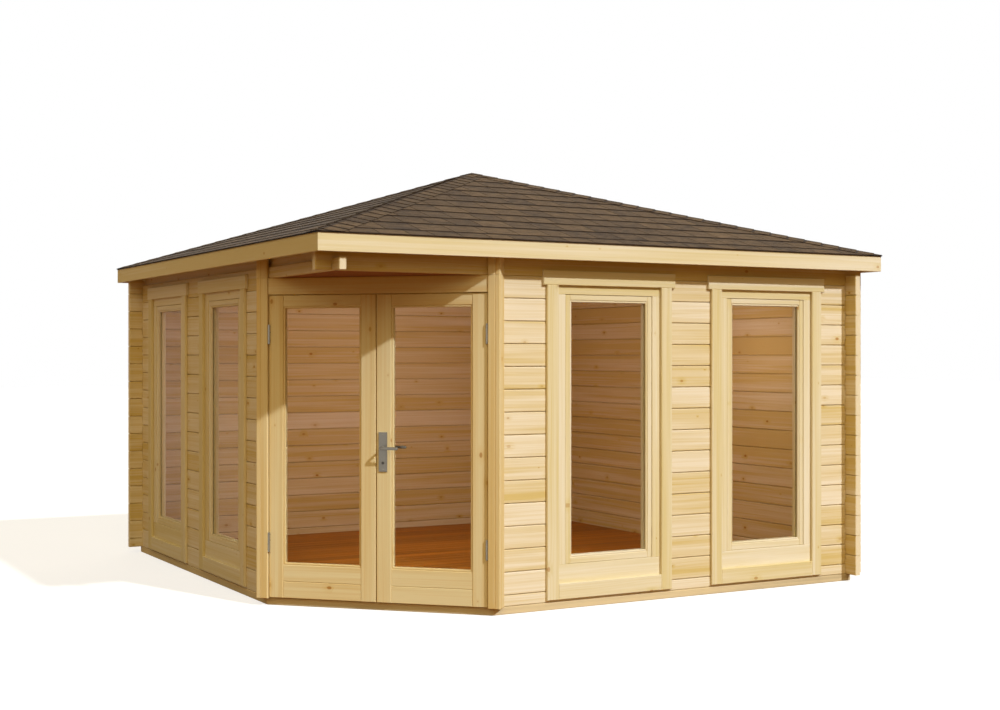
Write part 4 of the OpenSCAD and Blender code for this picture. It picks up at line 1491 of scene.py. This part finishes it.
class HOUSE_OT_shingles(bpy.types.Operator):
    """Lay the shingle courses on the four slopes and the caps on the hips"""

    bl_idname = "house.shingles"
    bl_label = "Shingles"

    def execute(self, context):
        sizes = context.scene.house_roof
        felt = Shingles("shingles")
        run = SHINGLE_EDGE / math.cos(PITCH)
        thick, lap, band = 0.003, 0.05, 0.024
        sink = 0.0052 / 0.24  # how much a tab falls towards its top, along its length
        under, spare, over_edge = 0.0004, 0.05, 0.02
        last_course, peak = -0.03, -0.001
        sheet_foot, sheet_top, sheet_tone = 0.0002, 0.0018, 0.1
        cuts = [((0, -SHINGLE_EDGE, 0), (0, -1, 0)), *HIP_CUTS]
        for turn, quarter in enumerate(QUARTERS):
            # The left slope's tabs are darker than the others: painted shade on that slope.
            shade = 0.35 if turn == 1 else 0.0
            sheet = oblong(-SHINGLE_EDGE - spare, SHINGLE_EDGE + spare, -run - over_edge, peak)
            felt.wedge(sheet, [sheet_foot] * 4, [sheet_top] * 4, quarter, cuts, sheet_tone)
            low, shown, overhang = -run, sizes.first_course, over_edge
            while low < last_course:
                high = min(low + shown + lap, peak)
                half = -low * math.cos(PITCH) + spare
                tops = (sizes.field_top, sizes.field_top - sink * (high - low))
                lows = (tops[0] - thick, max(tops[1] - thick * 0.8, under))
                s = -half - felt.chance.uniform(0, sizes.tab)
                while s < half:
                    width = sizes.tab * felt.chance.choice((0.82, 1.0, 1.0, 1.18))
                    tab = oblong(s, s + width - sizes.slot, low - overhang, high)
                    # The last argument places the painted shadow band below the next course's
                    # edge.
                    felt.wedge(tab, (lows[0], lows[0], lows[1], lows[1]),
                               (tops[0], tops[0], tops[1], tops[1]), quarter, cuts,
                               felt.chance.random() - shade, ((0, 1), low + shown - band))
                    s += width
                low += shown
                shown, overhang = sizes.course, 0.0
        self.lay_caps(felt, sizes, cuts)
        felt.piece("shingle_courses", "root", "shingle", shingle_material(), "roof_shingles")
        return {"FINISHED"}

    def lay_caps(self, felt, sizes, cuts):
        """Folded caps along each hip, one half on each slope."""
        thick, lap, band = 0.0032, 0.04, 0.02
        # A narrow dark strip along each hip's crest is painted shade there.
        fold, fold_lift, crest_shade_tone = 0.014, 0.0005, -0.4
        before, short, overlap, sink = 0.06, 0.02, 0.01, 0.0042
        run = SHINGLE_EDGE / math.cos(PITCH)
        hip_length = math.sqrt(2 * SHINGLE_EDGE ** 2 + (SLOPE * SHINGLE_EDGE) ** 2)
        kinds = 40
        tones = [[felt.chance.random() for _ in range(kinds)] for _ in range(4)]

        def room(end):
            """The width that a cap may have so far up, narrower where the hips meet."""
            return min(sizes.cap_width, (hip_length - end) * 0.75 + 0.035)

        for turn, quarter in enumerate(QUARTERS):
            for side in (-1, 1):
                hip = turn if side < 0 else (turn + 3) % 4
                along = Vector((-side * SHINGLE_EDGE, run)).normalized()
                inwards = Vector((-side * along.y, side * along.x))
                start = Vector((side * SHINGLE_EDGE, -run))
                order = [0, 1, 2, 3] if side > 0 else [0, 3, 2, 1]
                at, count = -before, 0
                while at < hip_length - short:
                    end = min(at + sizes.cap_step + lap, hip_length - 0.001)
                    a, b = start + along * at, start + along * end
                    wide = room(end)
                    spare = inwards * overlap
                    outline = [a - spare, b - spare, b + inwards * wide, a + inwards * wide]
                    top = sizes.cap_top - sink * (end - at) / (sizes.cap_step + lap)
                    heights = [sizes.cap_top, top, top, sizes.cap_top]
                    # Near the peak the next cap is too narrow to hide the painted shadow band
                    shadow_line = None
                    if room(end + sizes.cap_step) >= sizes.cap_width:
                        shadow_line = (along, start.dot(along) + at + sizes.cap_step - band)
                    # The second wedge is the painted shade strip along the crest.
                    for wider, lift_by, tone in ((0.0, 0.0, tones[hip][count % kinds]),
                                                 (fold - wide, fold_lift, crest_shade_tone)):
                        outline[2:] = [corner + inwards * wider for corner in outline[2:]]
                        felt.wedge(
                            [outline[i] for i in order],
                            [heights[i] + lift_by - thick for i in order],
                            [heights[i] + lift_by for i in order], quarter, cuts, tone, shadow_line,
                        )
                    at += sizes.cap_step
                    count += 1


class HOUSE_OT_fascias(bpy.types.Operator):
    """Fix the mitred fascia boards round the eaves"""

    bl_idname = "house.fascias"
    bl_label = "Fascias"

    def execute(self, context):
        timber = wood("Joinery spruce")
        low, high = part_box("front_fascia")
        thick = high[1] - low[1]
        half = ROOF_HALF + 0.01  # a little long, for the mitres
        for quarter, name in zip(QUARTERS, ("front", "left", "back", "right")):
            board = Boards(name + " fascia")
            # The left fascia's warm, dark tone is painted shade on the shaded side of the eaves.
            board.add(
                oblong(-half, half, FASCIA_FOOT, FASCIA_TOP), thick, upright_lay(-ROOF_HALF),
                quarter, cuts=HIP_CUTS, bevel=0.002, tone=1.7 if name == "left" else 0.25,
            )
            board.piece(name + "_fascia_board", "root", "frame_wood", timber, name + "_fascia")
        return {"FINISHED"}


# ---- stage


class HOUSE_OT_stage(bpy.types.Operator):
    """Set the pale floor, the light and the camera"""

    bl_idname = "house.stage"
    bl_label = "Stage"

    def execute(self, context):
        scene = context.scene
        light = scene.house_light
        scene.view_settings.view_transform = "Standard"

        floor_mesh = bpy.data.meshes.new("Floor")
        wide, grey, floor_glow = 60.0, 0.5, 0.7
        floor_mesh.from_pydata(
            [(-wide, -wide, 0), (wide, -wide, 0), (wide, wide, 0), (-wide, wide, 0)], [],
            [(0, 1, 2, 3)],
        )
        floor = bpy.data.objects.new("Floor", floor_mesh)
        scene.collection.objects.link(floor)
        made, tree, shader = new_material("Pale floor")
        set_values(shader, Base_Color=(*light.floor_bounce, 1.0), Roughness=1.0,
                   Specular_IOR_Level=0.0)
        shown = node(tree, "ShaderNodeBsdfDiffuse", {"Color": (grey, grey, grey, 1.0)})
        glow = node(tree, "ShaderNodeEmission",
                    {"Color": (1.0, 1.0, 1.0, 1.0), "Strength": floor_glow})
        both = node(tree, "ShaderNodeAddShader", {0: shown.outputs[0], 1: glow.outputs[0]})
        mix = node(tree, "ShaderNodeMixShader",
                   {0: self.seen(tree), 1: shader.outputs[0], 2: both.outputs[0]})
        tree.links.new(mix.outputs[0], tree.nodes["Material Output"].inputs["Surface"])
        floor_mesh.materials.append(made)

        world = bpy.data.worlds.new("Studio")
        world.use_nodes = True
        scene.world = world
        tree = world.node_tree
        soft = tree.nodes["Background"]
        set_values(soft, Color=(*light.sky_colour, 1.0), Strength=light.sky)
        white = node(tree, "ShaderNodeBackground", {"Color": (1.0, 1.0, 1.0, 1.0),
                                                    "Strength": 1.0})
        mix = node(tree, "ShaderNodeMixShader",
                   {0: self.seen(tree), 1: soft.outputs[0], 2: white.outputs[0]})
        tree.links.new(mix.outputs[0], tree.nodes["World Output"].inputs["Surface"])

        lamp_distance = 8
        for name, power, towards, width, tint in (
            ("Sun", light.sun, light.sun_towards, light.sun_angle, (0.95, 0.99, 1.0)),
            ("Fill", light.fill, light.fill_towards, light.soft_angle, (1.0, 0.87, 0.50)),
            ("Back light", light.back, light.back_towards, light.soft_angle, (1.0, 0.93, 0.80)),
        ):
            lamp = bpy.data.lights.new(name, "SUN")
            lamp.energy, lamp.angle, lamp.color = power, width, tint
            holder = bpy.data.objects.new(name, lamp)
            holder.rotation_euler = Vector(towards).to_track_quat("Z", "Y").to_euler()
            holder.location = Vector(towards) * lamp_distance
            scene.collection.objects.link(holder)

        for name, power, radius, spot in (
            ("Room light", light.room, 0.45, (-0.2, 0.2, 1.45)),
            ("Corner light", light.corner, 0.25, (1.2, -1.1, 1.6)),
        ):
            lamp = bpy.data.lights.new(name, "POINT")
            lamp.energy, lamp.color, lamp.shadow_soft_size = power, light.room_colour, radius
            holder = bpy.data.objects.new(name, lamp)
            holder.location = spot
            holder.visible_camera = holder.visible_glossy = holder.visible_transmission = False
            scene.collection.objects.link(holder)

        view = bpy.data.cameras.new("Camera")
        view.lens = light.lens
        view.sensor_width = 36
        view.clip_end = 300
        camera = bpy.data.objects.new("Camera", view)
        camera.location = light.camera_place
        camera.rotation_euler = (math.radians(90), 0, -light.camera_turn)
        scene.collection.objects.link(camera)
        scene.camera = camera
        return {"FINISHED"}

    def seen(self, tree):
        """1 where a ray from the camera, a reflection or a pane looks at the stage."""
        path = node(tree, "ShaderNodeLightPath").outputs
        looks = maths(tree, "MAXIMUM", path["Is Camera Ray"], path["Is Glossy Ray"])
        looks = maths(tree, "MAXIMUM", looks, path["Is Transmission Ray"])
        return maths(tree, "MULTIPLY", looks, maths(tree, "LESS_THAN", path["Diffuse Depth"], 0.5))


SETTINGS = (
    ("house_logs", LogWallSizes), ("house_windows", WindowSizes), ("house_doors", DoorSizes),
    ("house_handle", HandleSizes), ("house_roof", RoofSizes), ("house_wood", WoodColours),
    ("house_fittings", FittingColours), ("house_light", StageLight),
)
STEPS = (
    HOUSE_OT_base, HOUSE_OT_walls, HOUSE_OT_top_logs, HOUSE_OT_windows, HOUSE_OT_doorway,
    HOUSE_OT_doors, HOUSE_OT_panes, HOUSE_OT_hinges, HOUSE_OT_handle, HOUSE_OT_roof_frame,
    HOUSE_OT_roof_boards, HOUSE_OT_shingles, HOUSE_OT_fascias, HOUSE_OT_stage,
)


class HOUSE_PT_panel(bpy.types.Panel):
    """Lists the steps of the summer house and their sizes"""

    bl_idname = "HOUSE_PT_panel"
    bl_label = "Summer house"
    bl_space_type = "VIEW_3D"
    bl_region_type = "UI"
    bl_category = "Summer house"

    def draw(self, context):
        for step in STEPS:
            self.layout.operator(step.bl_idname)
        for name, group in SETTINGS:
            box = self.layout.box()
            box.label(text=group.__doc__.rstrip("."))
            for setting in group.__annotations__:
                box.prop(getattr(context.scene, name), setting)


def register():
    """Makes the settings, the operators and the panel known."""
    for name, group in SETTINGS:
        bpy.utils.register_class(group)
        setattr(bpy.types.Scene, name, PointerProperty(type=group))
    for step in (*STEPS, HOUSE_PT_panel):
        bpy.utils.register_class(step)


def unregister():
    """Takes the panel, the operators and the settings away again."""
    for step in (*STEPS, HOUSE_PT_panel):
        bpy.utils.unregister_class(step)
    for name, group in SETTINGS:
        delattr(bpy.types.Scene, name)
        bpy.utils.unregister_class(group)


def main():
    """Builds the house step by step."""
    register()
    for step in STEPS:
        group, name = step.bl_idname.split(".")
        getattr(getattr(bpy.ops, group), name)()


if __name__ == "__main__":
    main()
